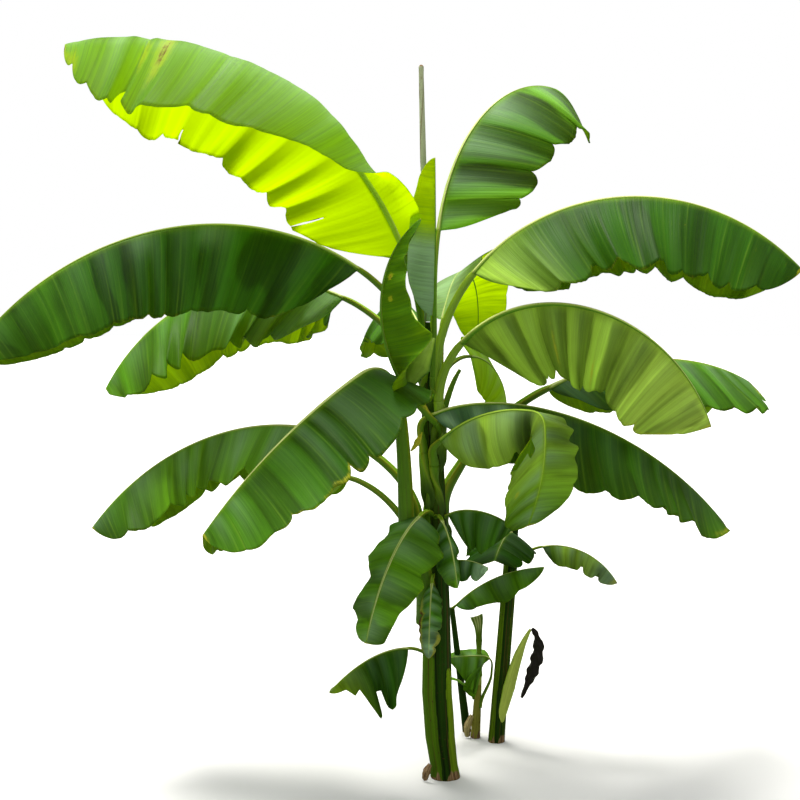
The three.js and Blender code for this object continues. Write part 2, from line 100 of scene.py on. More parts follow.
class Finish:
    # the node tree of a new material, or of the world
    def __init__(self, owner):
        self.owner = owner
        owner.use_nodes = True
        self.tree = owner.node_tree
        self.tree.nodes.clear()

    def node(self, kind, settings=None, values=None, output=0):
        made = self.tree.nodes.new(kind)
        for key, setting in (settings or {}).items():
            setattr(made, key, setting)
        for key, value in (values or {}).items():
            if isinstance(value, Value):
                self.tree.links.new(value.out, made.inputs[key])
            else:
                made.inputs[key].default_value = value
        return Value(self, made.outputs[output] if len(made.outputs) else None)

    def attribute(self, name, output="Color"):
        return self.node("ShaderNodeAttribute", {"attribute_name": name}, output=output)

    def surfacePlace(self):
        # distance along and across the leaf or stalk, in metres
        return self.node("ShaderNodeUVMap", {"uv_map": "surface"})

    def objectPlace(self):
        return self.node("ShaderNodeTexCoord", output="Object")

    def stretched(self, place, scale):
        return self.node("ShaderNodeVectorMath", {"operation": "MULTIPLY"}, {0: place, 1: scale})

    def noise(self, place, scale=1.0, detail=2.0, roughness=0.5, flat=True):
        return self.node("ShaderNodeTexNoise", {"noise_dimensions": "2D" if flat else "3D"},
                         {"Vector": place, "Scale": scale, "Detail": detail, "Roughness": roughness})

    def mixColour(self, share, first, second, blend="MIX"):
        first = first if isinstance(first, Value) else (*first, 1.0)
        second = second if isinstance(second, Value) else (*second, 1.0)
        return self.node("ShaderNodeMix", {"data_type": "RGBA", "blend_type": blend},
                         {0: share, 6: first, 7: second}, output=2)

    def bump(self, height, distance, strength=1.0):
        return self.node("ShaderNodeBump",
                         values={"Height": height, "Distance": distance, "Strength": strength})

    def principled(self, values):
        return self.node("ShaderNodeBsdfPrincipled", values=values)

    def finishWith(self, shader):
        self.node("ShaderNodeOutputMaterial", values={"Surface": shader})
        return self.owner


# Colours, linear red, green and blue
tints = {
    "deep": (0.021, 0.085, 0.003),
    "blue": (0.024, 0.082, 0.030),
    "mid": (0.050, 0.160, 0.006),
    "fresh": (0.110, 0.280, 0.008),
    "pale": (0.270, 0.430, 0.040),
    "lime": (0.360, 0.600, 0.020),
    "yellow": (0.620, 0.560, 0.030),
    "bloom": (0.300, 0.450, 0.250),
    "cream": (0.720, 0.760, 0.300),
    "olive": (0.040, 0.080, 0.003),
    "moss": (0.018, 0.060, 0.001),
    "bark": (0.045, 0.100, 0.002),
    "strap": (0.110, 0.200, 0.003),
    "leek": (0.190, 0.320, 0.006),
    "stalk": (0.110, 0.240, 0.005),
    "gold": (0.560, 0.680, 0.110),
    "ochre": (0.360, 0.340, 0.050),
    "ripe": (0.500, 0.700, 0.100),
    # pale wax bloom, also the colour of painted sheen
    "waxAndSheen": (0.360, 0.560, 0.330),
    "dark": (0.010, 0.022, 0.003),
    "brown": (0.070, 0.034, 0.012),
    "rust": (0.180, 0.075, 0.020),
    "tan": (0.420, 0.270, 0.130),
    "straw": (0.600, 0.480, 0.200),
    "char": (0.012, 0.008, 0.006),
    "parched": (0.50, 0.52, 0.34),
}


def tone(name):
    return np.array(tints[name])


# The two faces of a blade: roughness, the share of light that passes, and that light's colour
topFace = {"roughness": 0.48, "passing": 0.45, "through": (0.66, 1.0, 0.06)}
underFace = {"roughness": 0.55, "passing": 0.92, "through": (1.0, 1.0, 0.0)}
bladeLook = {
    "gloss": 0.06,
    "fineVeins": (330.0, 4.0, 1.0),   # lines for each metre along the leaf, then across it
    "veins": (90.0, 1.0, 1.0),
    "bands": (15.0, 0.8, 1.0),
    "relief": 0.0014,
}


def bladeFinish(name, tintName, face):
    look = bladeLook
    finish = Finish(bpy.data.materials.new(name))
    place = finish.surfacePlace()
    tint = finish.attribute(tintName)
    dryness = finish.attribute("dry", "Fac")
    fine = finish.noise(finish.stretched(place, look["fineVeins"]), detail=1.0)
    veins = finish.noise(finish.stretched(place, look["veins"]), detail=2.0, roughness=0.6)
    bands = finish.noise(finish.stretched(place, look["bands"]), detail=2.0)
    blotches = finish.noise(finish.objectPlace(), scale=9.0, detail=3.0, flat=False)
    spots = finish.noise(finish.objectPlace(), scale=60.0, detail=3.0, roughness=0.6, flat=False)
    brightness = 0.25 + 0.4 * fine + 0.44 * veins + 0.3 * bands + 0.36 * blotches
    colour = finish.mixColour(1.0, tint, brightness, "MULTIPLY")
    colour = finish.mixColour(0.22 * veins.step(0.58, 0.78), colour, tints["pale"])
    patchy = dryness + 0.35 * spots + 0.3 * fine - 0.33
    dead = patchy.step(0.36, 0.6)
    rim = patchy.step(0.08, 0.36)
    colour = finish.mixColour(0.6 * rim, colour, tints["yellow"])
    brown = finish.mixColour(fine.step(0.3, 0.7), tints["brown"], tints["rust"])
    colour = finish.mixColour(dead, colour, brown)
    relief = finish.bump(fine * 0.25 + veins, look["relief"], 0.9)
    solid = finish.principled({
        "Base Color": colour,
        "Roughness": (face["roughness"] - 0.07 + 0.14 * bands + 0.3 * dead).clamped(),
        "Normal": relief,
        "Specular IOR Level": look["gloss"],
    })
    glow = finish.node("ShaderNodeBsdfTranslucent", values={"Color": (*face["through"], 1.0)})
    passing = face["passing"] * finish.attribute("thin", "Fac")
    share = passing * (0.5 + 0.4 * fine + 0.6 * veins) * (1 - 0.9 * dead)
    return finish.finishWith(finish.node("ShaderNodeMixShader", values={0: share, 1: solid, 2: glow}))


stalkLook = {
    "streaks": (7.0, 210.0, 1.0),     # along, then around, per metre
    "lines": (1.6, 95.0, 1.0),
    "freckles": 170.0,
    "browning": 0.3,
    "lineTint": (0.070, 0.034, 0.012),
    "roughness": 0.42,
    "gloss": 0.25,
    "relief": 0.0009,
}
stemLook = {
    "streaks": (5.0, 260.0, 1.0),
    "lines": (1.3, 110.0, 1.0),
    "freckles": 120.0,
    "browning": 0.75,
    "lineTint": (0.110, 0.056, 0.014),
    "roughness": 0.55,
    "gloss": 0.1,
    "relief": 0.0014,
}


def stalkFinish(name, look):
    finish = Finish(bpy.data.materials.new(name))
    place = finish.surfacePlace()
    tint = finish.attribute("tint")
    dryness = finish.attribute("dry", "Fac")
    streaks = finish.noise(finish.stretched(place, look["streaks"]), detail=2.0)
    lines = finish.noise(finish.stretched(place, look["lines"]), detail=3.0, roughness=0.65)
    freckles = finish.noise(finish.objectPlace(), scale=look["freckles"], detail=2.0, flat=False)
    patches = finish.noise(finish.objectPlace(), scale=14.0, detail=2.0, flat=False)
    brightness = 0.3 + 0.55 * streaks + 0.5 * lines + 0.4 * patches
    colour = finish.mixColour(1.0, tint, brightness, "MULTIPLY")
    colour = finish.mixColour(look["browning"] * lines.step(0.56, 0.72), colour, look["lineTint"])
    colour = finish.mixColour(look["browning"] * freckles.step(0.64, 0.74), colour, tints["brown"])
    dead = (dryness + 0.7 * lines - 0.35).step(0.3, 0.6)
    husk = finish.mixColour(streaks.step(0.3, 0.7), tints["brown"], tints["tan"])
    colour = finish.mixColour(dead, colour, husk)
    relief = finish.bump(streaks * 0.6 + lines, look["relief"], 0.9)
    return finish.finishWith(finish.principled({
        "Base Color": colour,
        "Roughness": (look["roughness"] + 0.16 * patches + 0.35 * dead).clamped(),
        "Normal": relief,
        "Specular IOR Level": look["gloss"],
    }))


def floorFinish(name, look):
    # pale where the camera sees it, darker for the light it throws back up at the plant
    finish = Finish(bpy.data.materials.new(name))
    wear = finish.noise(finish.objectPlace(), scale=1.3, detail=3.0, flat=False)
    colour = finish.mixColour(wear, look["low"], look["high"])
    seen = finish.node("ShaderNodeLightPath", output="Is Camera Ray")
    colour = finish.mixColour(seen, look["bounce"], colour)
    return finish.finishWith(finish.principled({"Base Color": colour, "Roughness": look["roughness"]}))


topFinish = bladeFinish("leafTop", "tint", topFace)
underFinish = bladeFinish("leafUnderside", "tintUnder", underFace)
stalkMaterial = stalkFinish("stalk", stalkLook)
stemMaterial = stalkFinish("stem", stemLook)
print("finishes made")


# Small helpers

def smooth(x, low=0.0, high=1.0):
    k = np.clip((x - low) / (high - low), 0, 1)
    return k * k * (3 - 2 * k)


def mix(a, b, k):
    return a + (b - a) * k


def unit(v):
    return v / np.maximum(np.linalg.norm(v, axis=-1, keepdims=True), 1e-9)


def lineNoise(x, seed):
    # smooth random line from -1 to 1 with one knot for each whole x
    knots = np.random.default_rng(seed).uniform(-1, 1, 512)
    x = np.asarray(x, float)
    i = np.floor(x).astype(int)
    f = x - i
    f = f * f * (3 - 2 * f)
    return knots[i % 512] * (1 - f) + knots[(i + 1) % 512] * f


def ridge(x):
    # a wave of flat facets with soft folds between, from -1 to 1
    saw = np.abs(((x % 1.0) - 0.62) % 1.0 - 0.5) * 2
    return np.sin((saw * 2 - 1) * 1.35) / np.sin(1.35)


def placed(points, sideways, upward, x, y):
    # points round each station of a line: x goes sideways from it and y up
    return points[:, None, :] + sideways[:, None, :] * x[..., None] + upward[:, None, :] * y[..., None]


def together(*parts):
    # arrays brought to one shape, as the coordinates of points
    return np.stack(np.broadcast_arrays(*parts), -1)


def around(sides):
    return 2 * np.pi * np.arange(sides) / sides


def circle(sides):
    # x and y of the points of a section, each as one row
    return np.cos(around(sides))[None, :], np.sin(around(sides))[None, :]


def addColours(mesh, name, colours):
    layer = mesh.attributes.new(name, "FLOAT_COLOR", "POINT")
    flat = np.ones((len(colours), 4))
    flat[:, :3] = colours
    layer.data.foreach_set("color", flat.ravel())


def addNumbers(mesh, name, numbers):
    layer = mesh.attributes.new(name, "FLOAT", "POINT")
    layer.data.foreach_set("value", np.asarray(numbers, float).ravel())


def makeObject(name, points, faces, uv, materials):
    mesh = bpy.data.meshes.new(name)
    mesh.from_pydata(points.tolist(), [], [list(map(int, f)) for f in faces])
    corners = np.empty(len(mesh.loops), dtype=np.int32)
    mesh.loops.foreach_get("vertex_index", corners)
    layer = mesh.uv_layers.new(name="surface")
    layer.data.foreach_set("uv", np.asarray(uv, float)[corners].ravel())
    for material in materials:
        mesh.materials.append(material)
    mesh.shade_smooth()
    made = bpy.data.objects.new(name, mesh)
    bpy.context.collection.objects.link(made)
    return made


def gridFaces(rows, columns, closed=False):
    r, c = np.meshgrid(np.arange(rows - 1), np.arange(columns if closed else columns - 1), indexing="ij")
    a = r * columns + c
    b = r * columns + (c + 1) % columns
    return np.stack([a, b, b + columns, a + columns], -1).reshape(-1, 4)


# What a leaf has where its own entry doesn't say otherwise. Pairs are the left and the right half,
# seen from the stem. A half is also named by -1, left, or 1, right. Places run from 0 at the base
# of a blade to 1 at its tip, and distances out from 0 at the midrib to 1 at the margin. A patch is
# a half, a place, a distance out, its length along, its width across and its strength.
usualLeaf = {
    "start": None,              # where a long sheath leaves the stem
    "sweep": 0,                 # how far the heading has turned at the tip
    "kink": (0.5, 0, 1),        # place, angle and length of a sharp fold
    "gravity": 0,               # how far a half hangs straight down
    "baseDroop": (1, 1),        # how much of its droop a half has at the base
    "curl": (1, 1),             # distance out by which a half has all its droop
    "baseRound": 0.16,          # length over which the base widens, and over which the tip narrows
    "tipRound": 0.55,
    "margin": {},               # for a half: places and widths
    "bites": [],                # nicks in the margin: half, place, depth and length
    "tears": [],                # half, place, how far in from the margin, gap, drop in degrees
    "scallop": 0.05,            # depth of the bays between the folds
    "soft": 0.6,                # how round the folds are
    "thin": 0.36,               # how freely light passes
    "bloomAndSheen": 0.12,               # pale wax bloom with painted sheen on the fold crests beside the midrib
    "bandShading": 1.0,             # strength of the painted light and shade bands along the veins
    "facets": 0.35,             # strength of the painted light and shade that differs at random between fold facets
    "fanShading": 0.1,                 # strength of the painted light and shade that alternates between fold facets
    "tipDry": 0.45,
    "paintedSheen": [],                # painted sheen: whitish highlight patches in the wax tint
    "shade": [],                # painted shade: dark patches, such as a fold's shadow
    "scorch": [],               # dried patches
    "body": "stalk",            # tints of a stalk and of its channel, which starts lower by split
    "inside": "lime",
    "split": 0,
    "ribTop": "cream",          # tint and width of a midrib above and below
    "crest": 0.36,
    "ribUnder": "fresh",
    "belly": 0.55,
}

# Every leaf gives foot: where the stalk leaves the stem. heading: compass turn, 0 to the right and
# 270 to the front. rise: slope at the foot, which bend takes away along the leaf, late where late
# is over 1. stalk, blade: lengths. width: of the halves. lift: slope of a half where it leaves the
# midrib. droop: what it loses by the margin. thick: of the stalk. pleats: how many folds, their
# depth and how much they wander. tints: base, middle, tip and underside. Some also give tipLift
# and tipDroop, which are lift and droop at the tip, or thinBase and underBase, which are thin and
# the underside's tint low on the blade.
crownLeaves = [
    dict(name="left_high", thin=1.3, foot=(-78, 8, 1540), heading=200, rise=82, bend=91, late=1.05,
         sweep=-18, stalk=250, blade=1345, width=(430, 345), lift=(75, -41), droop=(110, 9),
         tipLift=(10, -45), tipDroop=(75, 15), baseDroop=(0.25, 1), curl=(0.4, 1), tipRound=0.4,
         thick=17, margin={-1: [(0, 0.25), (0.1, 0.3), (0.22, 0.42), (0.32, 0.72), (0.42, 1), (1, 1)]},
         bites=[(-1, 0.8, 0.3, 0.012), (-1, 0.62, 0.14, 0.03), (-1, 0.9, 0.1, 0.015),
         (1, 0.5, 0.08, 0.02), (1, 0.72, 0.12, 0.015), (-1, 0.965, 0.35, 0.01), (1, 0.95, 0.4, 0.012)],
         pleats=(8, 16, 0.9), tints=("blue", "blue", "blue", "lime"), bloomAndSheen=0.95, tipDry=0.6,
         ribUnder="lime", belly=1.6, crest=1.2, tears=[(1, 0.16, 0.35, 6, 7), (1, 0.66, 0.12, 7, 16)],
         scorch=[(-1, 0.75, 0.42, 0.018, 0.3, 0.5), (-1, 0.79, 0.5, 0.012, 0.22, 0.42),
         (-1, 0.97, 0.8, 0.03, 0.3, 0.35)], paintedSheen=[(-1, 0.55, 0.3, 0.12, 0.2, 0.6),
         (-1, 0.36, 0.3, 0.06, 0.14, 0.45), (-1, 0.72, 0.3, 0.05, 0.14, 0.4)]),
    dict(name="left_long", foot=(-72, -14, 1440), heading=184, rise=79, bend=134, late=0.72, sweep=8,
         stalk=375, blade=1420, width=(320, 270), lift=(-54, -52), droop=(18, 30), thick=18,
         tipRound=0.45, margin={-1: [(0, 1), (0.45, 1), (0.7, 0.85), (1, 0.66)]},
         bites=[(-1, 0.2, 0.06, 0.01), (-1, 0.62, 0.05, 0.012)], pleats=(10, 12, 1.0),
         tints=("deep", "deep", "mid", "fresh"), bandShading=1.5, bloomAndSheen=0.1,
         paintedSheen=[(-1, 0.36, 0.1, 0.05, 0.16, 0.25), (-1, 0.52, 0.1, 0.03, 0.18, 0.2)]),
    dict(name="left_back", thin=0.6, foot=(-70, 18, 1327), heading=163, rise=76, bend=138, late=0.82,
         sweep=14, stalk=440, blade=1030, width=(300, 260), lift=(-36, -40), droop=(16, 40), thick=17,
         tipRound=0.4, scallop=0.12, pleats=(8, 24, 0.9), tints=("mid", "mid", "mid", "lime"),
         bandShading=1.8, bloomAndSheen=0.2, paintedSheen=[(-1, 0.04, 0.5, 0.06, 0.7, 0.7), (-1, 0.19, 0.4, 0.03, 0.5, 0.5),
         (-1, 0.33, 0.4, 0.02, 0.5, 0.4)], shade=[(-1, 0.26, 0.5, 0.03, 0.6, 0.4),
         (-1, 0.5, 0.5, 0.12, 0.6, 0.4)]),
    dict(name="left_low", foot=(-92, 26, 905), start=(-52, 16, 690), heading=165, rise=84, bend=138,
         late=0.6, sweep=25, stalk=410, blade=990, width=(245, 220), lift=(-28, -40), droop=(20, 40),
         thick=21, tipRound=0.35, scallop=0.1, pleats=(7, 20, 0.9),
         tints=("mid", "fresh", "mid", "fresh"), bandShading=1.3, bloomAndSheen=0.3,
         shade=[(-1, 0.85, 0.5, 0.3, 1.2, 0.4)], paintedSheen=[(-1, 0.15, 0.4, 0.08, 0.5, 0.45),
         (-1, 0.35, 0.4, 0.06, 0.5, 0.45), (-1, 0.55, 0.5, 0.04, 0.25, 0.35)]),
    dict(name="front_left", foot=(-136, -36, 914), start=(-62, -24, 610), heading=231, rise=88, bend=41,
         late=1.31, sweep=-22, stalk=375, blade=975, width=(310, 270), lift=(-17, -40), droop=(3, 30),
         kink=(0.38, 99, 0.2), gravity=0.7, baseRound=0.3, tipRound=0.4, thick=27, scallop=0.08,
         bites=[(-1, 0.3, 0.12, 0.02), (-1, 0.52, 0.1, 0.015), (-1, 0.75, 0.08, 0.012)],
         pleats=(7, 17, 0.9), tints=("mid", "deep", "mid", "fresh"), bandShading=1.3, bloomAndSheen=0.25,
         scorch=[(-1, 0.55, 0.97, 0.08, 0.03, 0.3)]),
    dict(name="left_small", foot=(-100, 4, 820), start=(-50, 0, 600), heading=163, rise=60, bend=130,
         late=1.41, stalk=330, blade=345, width=(115, 110), lift=(-34, -30), droop=(26, 40), thick=15,
         pleats=(5, 9, 0.4), tints=("pale", "mid", "mid", "fresh"), bloomAndSheen=0.5),
    dict(name="front_upright", thin=0.45, foot=(-38, -58, 1230), heading=219, rise=37, bend=-107,
         late=1.31, sweep=-17, stalk=175, blade=605, width=(175, 120), lift=(4, 30), droop=(-11, -30),
         baseDroop=(-9, 1), tipRound=0.95, thick=13, margin={-1: [(0, 1.1), (0.12, 1.3), (0.26, 1.3),
         (0.36, 1), (0.5, 0.88), (0.75, 0.62), (1, 0.5)]}, bites=[(-1, 0.62, 0.08, 0.02),
         (-1, 0.4, 0.06, 0.02)], pleats=(5, 10, 0.5), tints=("fresh", "fresh", "deep", "mid"),
         bandShading=1.1, scorch=[(-1, 0.62, 0.3, 0.02, 0.12, 0.5), (-1, 0.5, 0.35, 0.015, 0.1, 0.46)]),
    dict(name="young_upright", thin=1.0, thinBase=0.1, foot=(-48, -62, 1380), heading=300, rise=87,
         bend=-4, late=1, stalk=200, blade=510, width=(34, 92), lift=(60, 42), droop=(-25, -10),
         baseRound=0.3, tipRound=0.7, thick=9, pleats=(3, 5, 0.4),
         tints=("waxAndSheen", "bloom", "gold", "lime"), underBase="waxAndSheen", bloomAndSheen=0.6),
    dict(name="right_upright", thin=0.45, foot=(-42, 22, 1449), heading=20, rise=91, bend=100, late=2.2,
         sweep=18, stalk=415, blade=805, width=(250, 300), lift=(-20, -26), droop=(40, 38), thick=15,
         tipRound=0.14, scallop=0.16, soft=0.2, pleats=(5, 34, 0.3),
         tints=("fresh", "mid", "fresh", "fresh"), bandShading=1.3, bloomAndSheen=0.45, fanShading=0.5, body="pale",
         crest=0.8),
    # its pale base tint is painted sheen near the base
    dict(name="right_long", foot=(-34, -26, 1350), heading=347, rise=96, bend=144, late=0.86, sweep=2,
         stalk=400, blade=1160, width=(290, 325), lift=(-40, -40), droop=(30, 15), tipRound=0.28,
         thick=21, scallop=0.1, margin={1: [(0, 1), (0.5, 1), (0.72, 0.9), (1, 0.85)]},
         bites=[(1, 0.3, 0.18, 0.02), (1, 0.56, 0.12, 0.015), (1, 0.7, 0.06, 0.02)], pleats=(8, 22, 0.9),
         tints=("pale", "deep", "deep", "fresh"), bandShading=0.8, bloomAndSheen=0, facets=0.22, body="pale",
         inside="lime", split=-0.5, paintedSheen=[(1, 0.06, 0.4, 0.09, 0.5, 0.15),
         (1, 0.27, 0.35, 0.02, 0.3, 0.15)], shade=[(1, 0.3, 0.4, 0.05, 0.6, 0.3),
         (1, 0.68, 0.5, 0.06, 0.6, 0.4)]),
    dict(name="right_front", thin=0.5, foot=(-27, -36, 1298), heading=325, rise=92, bend=164, late=0.75,
         sweep=30, stalk=220, blade=1000, width=(290, 330), lift=(-40, -86), droop=(30, 18),
         tipRound=0.22, thick=19, scallop=0.16, soft=0.4, margin={1: [(0, 0.8), (0.24, 0.8), (0.3, 0.7),
         (0.45, 0.82), (0.56, 0.72), (0.8, 0.74), (1, 0.7)]}, bites=[(1, 0.24, 0.12, 0.012),
         (1, 0.48, 0.1, 0.01)], pleats=(9, 26, 0.6), tints=("pale", "pale", "ripe", "fresh"),
         bandShading=1.4, facets=0.35, fanShading=0.2, bloomAndSheen=0.1, tipDry=0.5,
         shade=[(1, 0.31, 0.6, 0.035, 0.8, 0.4)], scorch=[(1, 0.34, 0.55, 0.004, 0.3, 0.5),
         (1, 0.52, 0.75, 0.004, 0.2, 0.5), (1, 0.9, 0.97, 0.12, 0.03, 0.3)], body="pale", inside="lime",
         split=-0.4),
    dict(name="right_back", foot=(57, 40, 1086), start=(-14, 20, 930), heading=13, rise=57, bend=80,
         late=0.76, sweep=21, stalk=400, blade=925, width=(240, 255), lift=(-40, -32), droop=(30, 10),
         thick=21, baseRound=0.35, tipRound=0.25, bites=[(1, 0.93, 0.3, 0.012)], pleats=(8, 18, 0.8),
         tints=("blue", "mid", "mid", "fresh"), bloomAndSheen=0.25, tipDry=0.7,
         scorch=[(1, 0.97, 0.7, 0.015, 0.3, 0.3)]),
    dict(name="back_right", thin=1.0, foot=(-18, 46, 1370), heading=65, rise=91, bend=228, late=1.6,
         sweep=9, stalk=200, blade=690, width=(120, 135), lift=(-20, 38), droop=(20, 8), thick=12,
         pleats=(6, 8, 0.5), tints=("bloom", "bloom", "bloom", "lime"), bloomAndSheen=0.4),
    dict(name="right_drooping", thin=1.0, foot=(-30, 26, 1320), heading=46, rise=80, bend=168, late=0.85,
         sweep=-8, stalk=225, blade=300, width=(135, 130), lift=(40, -60), droop=(0, 50), thick=11,
         pleats=(4, 8, 0.5), tints=("pale", "fresh", "fresh", "fresh"), bloomAndSheen=0.5),
    dict(name="right_folded", thin=0.5, foot=(-40, -74, 1156), start=(-42, -34, 1085), heading=333,
         rise=47, bend=99, late=0.92, sweep=-41, stalk=30, blade=775, width=(145, 185), lift=(-36, -59),
         droop=(-2, 45), tipLift=(20, -57), kink=(0.53, 72, 0.11), gravity=0.5, baseRound=0.25,
         bites=[(1, 0.45, 0.55, 0.045), (1, 0.36, 0.2, 0.02), (1, 0.66, 0.12, 0.02),
         (-1, 0.8, 0.1, 0.02)], thick=14, tipRound=0.35, pleats=(6, 14, 0.7),
         tints=("pale", "pale", "fresh", "fresh"), bloomAndSheen=0.55, tipDry=0.8, ribTop="lime",
         shade=[(1, 0.44, 0.7, 0.07, 0.9, 0.9), (-1, 0.6, 0.5, 0.05, 0.5, 0.4)],
         paintedSheen=[(1, 0.15, 0.5, 0.06, 0.3, 0.35)], scorch=[(1, 0.75, 0.6, 0.02, 0.1, 0.34)]),
    dict(name="right_dark", foot=(-82, -60, 1235), start=(-78, -34, 1130), heading=6, rise=56, bend=101,
         late=0.35, sweep=23, stalk=40, blade=1235, width=(230, 275), lift=(-64, -66), droop=(20, -8),
         tipLift=(-40, -38), baseRound=0.45, tipRound=0.25, thick=14, margin={1: [(0, 1), (0.45, 1),
         (0.7, 0.82), (1, 0.7)], -1: [(0, 1), (0.4, 0.95), (0.7, 0.6), (1, 0.5)]}, pleats=(9, 18, 0.8),
         tints=("blue", "deep", "mid", "mid"), bandShading=1.6, tipDry=0.6,
         paintedSheen=[(1, 0.03, 0.4, 0.03, 0.4, 0.8), (1, 0.12, 0.25, 0.03, 0.3, 0.7),
         (1, 0.2, 0.1, 0.03, 0.12, 0.8)], scorch=[(1, 0.95, 0.9, 0.06, 0.1, 0.28)]),
    dict(name="back_left", foot=(-60, 40, 1290), heading=102, rise=80, bend=130, late=0.8, stalk=330,
         blade=900, width=(200, 200), lift=(-40, -40), droop=(30, 30), thick=15, pleats=(8, 14, 0.5),
         tints=("mid", "mid", "mid", "fresh"), bloomAndSheen=0.2),
]

# Low leaves, each in one piece with its stalk in the CAD
lowLeaves = [
    dict(name="low_front", foot=(-60, -44, 930), heading=232, rise=20, bend=92, late=0.35, stalk=50,
         blade=470, width=(150, 160), lift=(-12, -12), droop=(20, 20), tipRound=0.06, baseRound=0.04,
         thick=10, margin={1: [(0, 0.75), (0.18, 0.66), (0.31, 0.95), (0.51, 0.52), (0.74, 0.85),
         (0.83, 0.54), (1, 0.38)], -1: [(0, 0.65), (0.08, 0.75), (0.21, 1.05), (0.41, 0.74),
         (0.49, 0.92), (0.62, 0.74), (0.75, 0.56), (1, 0.36)]}, pleats=(4, 22, 0.3), soft=0.3,
         tints=("mid", "fresh", "fresh", "mid"), bandShading=0.5, bloomAndSheen=0.5, crest=0.9),
    dict(name="low_tattered", foot=(-60, -38, 436), heading=212, rise=56, bend=96, late=0.5, stalk=90,
         blade=325, width=(175, 100), lift=(-60, -30), droop=(20, 20), thick=9, margin={-1: [(0, 0.75),
         (0.12, 0.9), (0.3, 1.05), (0.4, 0.95), (0.44, 0.62), (0.5, 0.6), (0.58, 1.1), (0.64, 0.8),
         (0.7, 0.4), (0.78, 0.5), (0.84, 0.28), (1, 0.3)]}, bites=[(1, 0.5, 0.3, 0.03),
         (1, 0.85, 0.3, 0.03)], pleats=(5, 15, 0.5), tints=("deep", "deep", "lime", "lime"), bloomAndSheen=0.15),
    dict(name="low_narrow", foot=(-32, -42, 915), heading=288, rise=30, bend=105, late=0.4, stalk=50,
         blade=250, width=(90, 80), lift=(-45, -50), droop=(20, 20), thick=8, margin={-1: [(0, 0.9),
         (0.3, 1.1), (0.45, 0.9), (0.52, 0.5), (0.7, 0.8), (0.85, 0.7), (1, 0.4)]}, pleats=(4, 9, 0.5),
         tints=("mid", "mid", "fresh", "mid"), bloomAndSheen=0.5),
    dict(name="low_broad", foot=(-4, -14, 908), heading=345, rise=44, bend=80, late=0.6, stalk=12,
         blade=240, width=(120, 150), lift=(-40, -55), droop=(30, 30), baseRound=0.03, thick=9,
         margin={1: [(0, 1), (0.15, 1), (0.4, 0.85), (0.6, 0.95), (0.8, 0.8), (1, 0.7)]},
         pleats=(4, 18, 0.5), soft=0.3, tints=("mid", "mid", "mid", "mid"), bandShading=1.5, bloomAndSheen=0.3),
    dict(name="second_front", foot=(256, 285, 790), heading=248, rise=24, bend=62, late=0.6, stalk=15,
         blade=220, width=(125, 165), lift=(-20, -18), droop=(20, 20), baseRound=0.06, thick=8,
         bites=[(1, 0.5, 0.2, 0.04), (-1, 0.7, 0.3, 0.05)], pleats=(4, 12, 0.5),
         tints=("deep", "deep", "deep", "mid"), bandShading=1.4),
    dict(name="low_ragged", foot=(-6, -28, 748), heading=330, rise=40, bend=60, late=0.6, stalk=40,
         blade=130, width=(55, 75), lift=(-30, -50), droop=(30, 30), thick=7,
         bites=[(1, 0.55, 0.4, 0.12)], pleats=(3, 14, 0.3), soft=0.2,
         tints=("deep", "deep", "waxAndSheen", "pale"), bloomAndSheen=0.7, tipDry=0.6),
    dict(name="low_striped", foot=(-44, -40, 714), heading=262, rise=10, bend=95, late=0.3, stalk=40,
         blade=250, width=(62, 68), lift=(-40, -40), droop=(30, 30), thick=7, bites=[(1, 0.4, 0.4, 0.03),
         (-1, 0.62, 0.4, 0.03), (-1, 0.85, 0.5, 0.03)], pleats=(6, 7, 0.8),
         tints=("mid", "mid", "waxAndSheen", "pale"), bandShading=3.4, bloomAndSheen=0.7,
         scorch=[(1, 0.5, 0.9, 0.45, 0.3, 0.6), (-1, 0.85, 0.8, 0.2, 0.3, 0.5)]),
    dict(name="second_right", foot=(252, 288, 668), heading=352, rise=58, bend=118, late=0.8, stalk=138,
         blade=320, width=(80, 78), lift=(-40, -50), droop=(30, 30), thick=8,
         bites=[(-1, 0.4, 0.4, 0.03), (-1, 0.6, 0.5, 0.03), (1, 0.5, 0.4, 0.03), (1, 0.75, 0.5, 0.03)],
         pleats=(6, 8, 0.5), tints=("mid", "pale", "bloom", "bloom"), bandShading=2.4, bloomAndSheen=0.5, tipDry=0.8,
         scorch=[(1, 0.97, 0.2, 0.05, 0.9, 0.3)]),
    dict(name="thin_right", foot=(40, 290, 508), heading=335, rise=49, bend=41, late=1, stalk=15,
         blade=388, width=(60, 100), lift=(-10, -60), droop=(10, 10), thick=8, margin={1: [(0, 0.55),
         (0.25, 0.7), (0.5, 1), (0.68, 0.82), (1, 0.7)]}, pleats=(4, 9, 0.5),
         tints=("mid", "fresh", "fresh", "mid"), bloomAndSheen=0.5),
    dict(name="sucker_front", foot=(186, 314, 250), start=(146, 322, 120), heading=182, rise=95, bend=20,
         late=1, stalk=60, blade=165, width=(150, 60), kink=(0.27, 84, 0.3), lift=(-75, 10),
         droop=(5, 10), baseRound=0.06, tipRound=0.9, thick=6, margin={-1: [(0, 0.95), (0.1, 1.05),
         (0.18, 1), (1, 0.25)]}, pleats=(3, 8, 0.5), tints=("fresh", "fresh", "fresh", "fresh"), bloomAndSheen=0.4),
    dict(name="sucker_side", foot=(120, 326, 150), heading=215, rise=75, bend=80, late=0.8, stalk=60,
         blade=190, width=(24, 24), lift=(-10, -10), droop=(10, 10), thick=5, pleats=(3, 1, 0.5),
         tints=("fresh", "fresh", "fresh", "fresh")),
]

leaves = []
for number, own in enumerate(crownLeaves + lowLeaves, 1):
    ends = {"tipLift": own["lift"], "tipDroop": own["droop"], "underBase": own["tints"][3]}
    leaf = {**usualLeaf, **ends, **own}
    leaf.setdefault("thinBase", leaf["thin"])
    leaf["seed"] = number
    leaf["joined"] = number > len(crownLeaves)
    leaves.append(leaf)

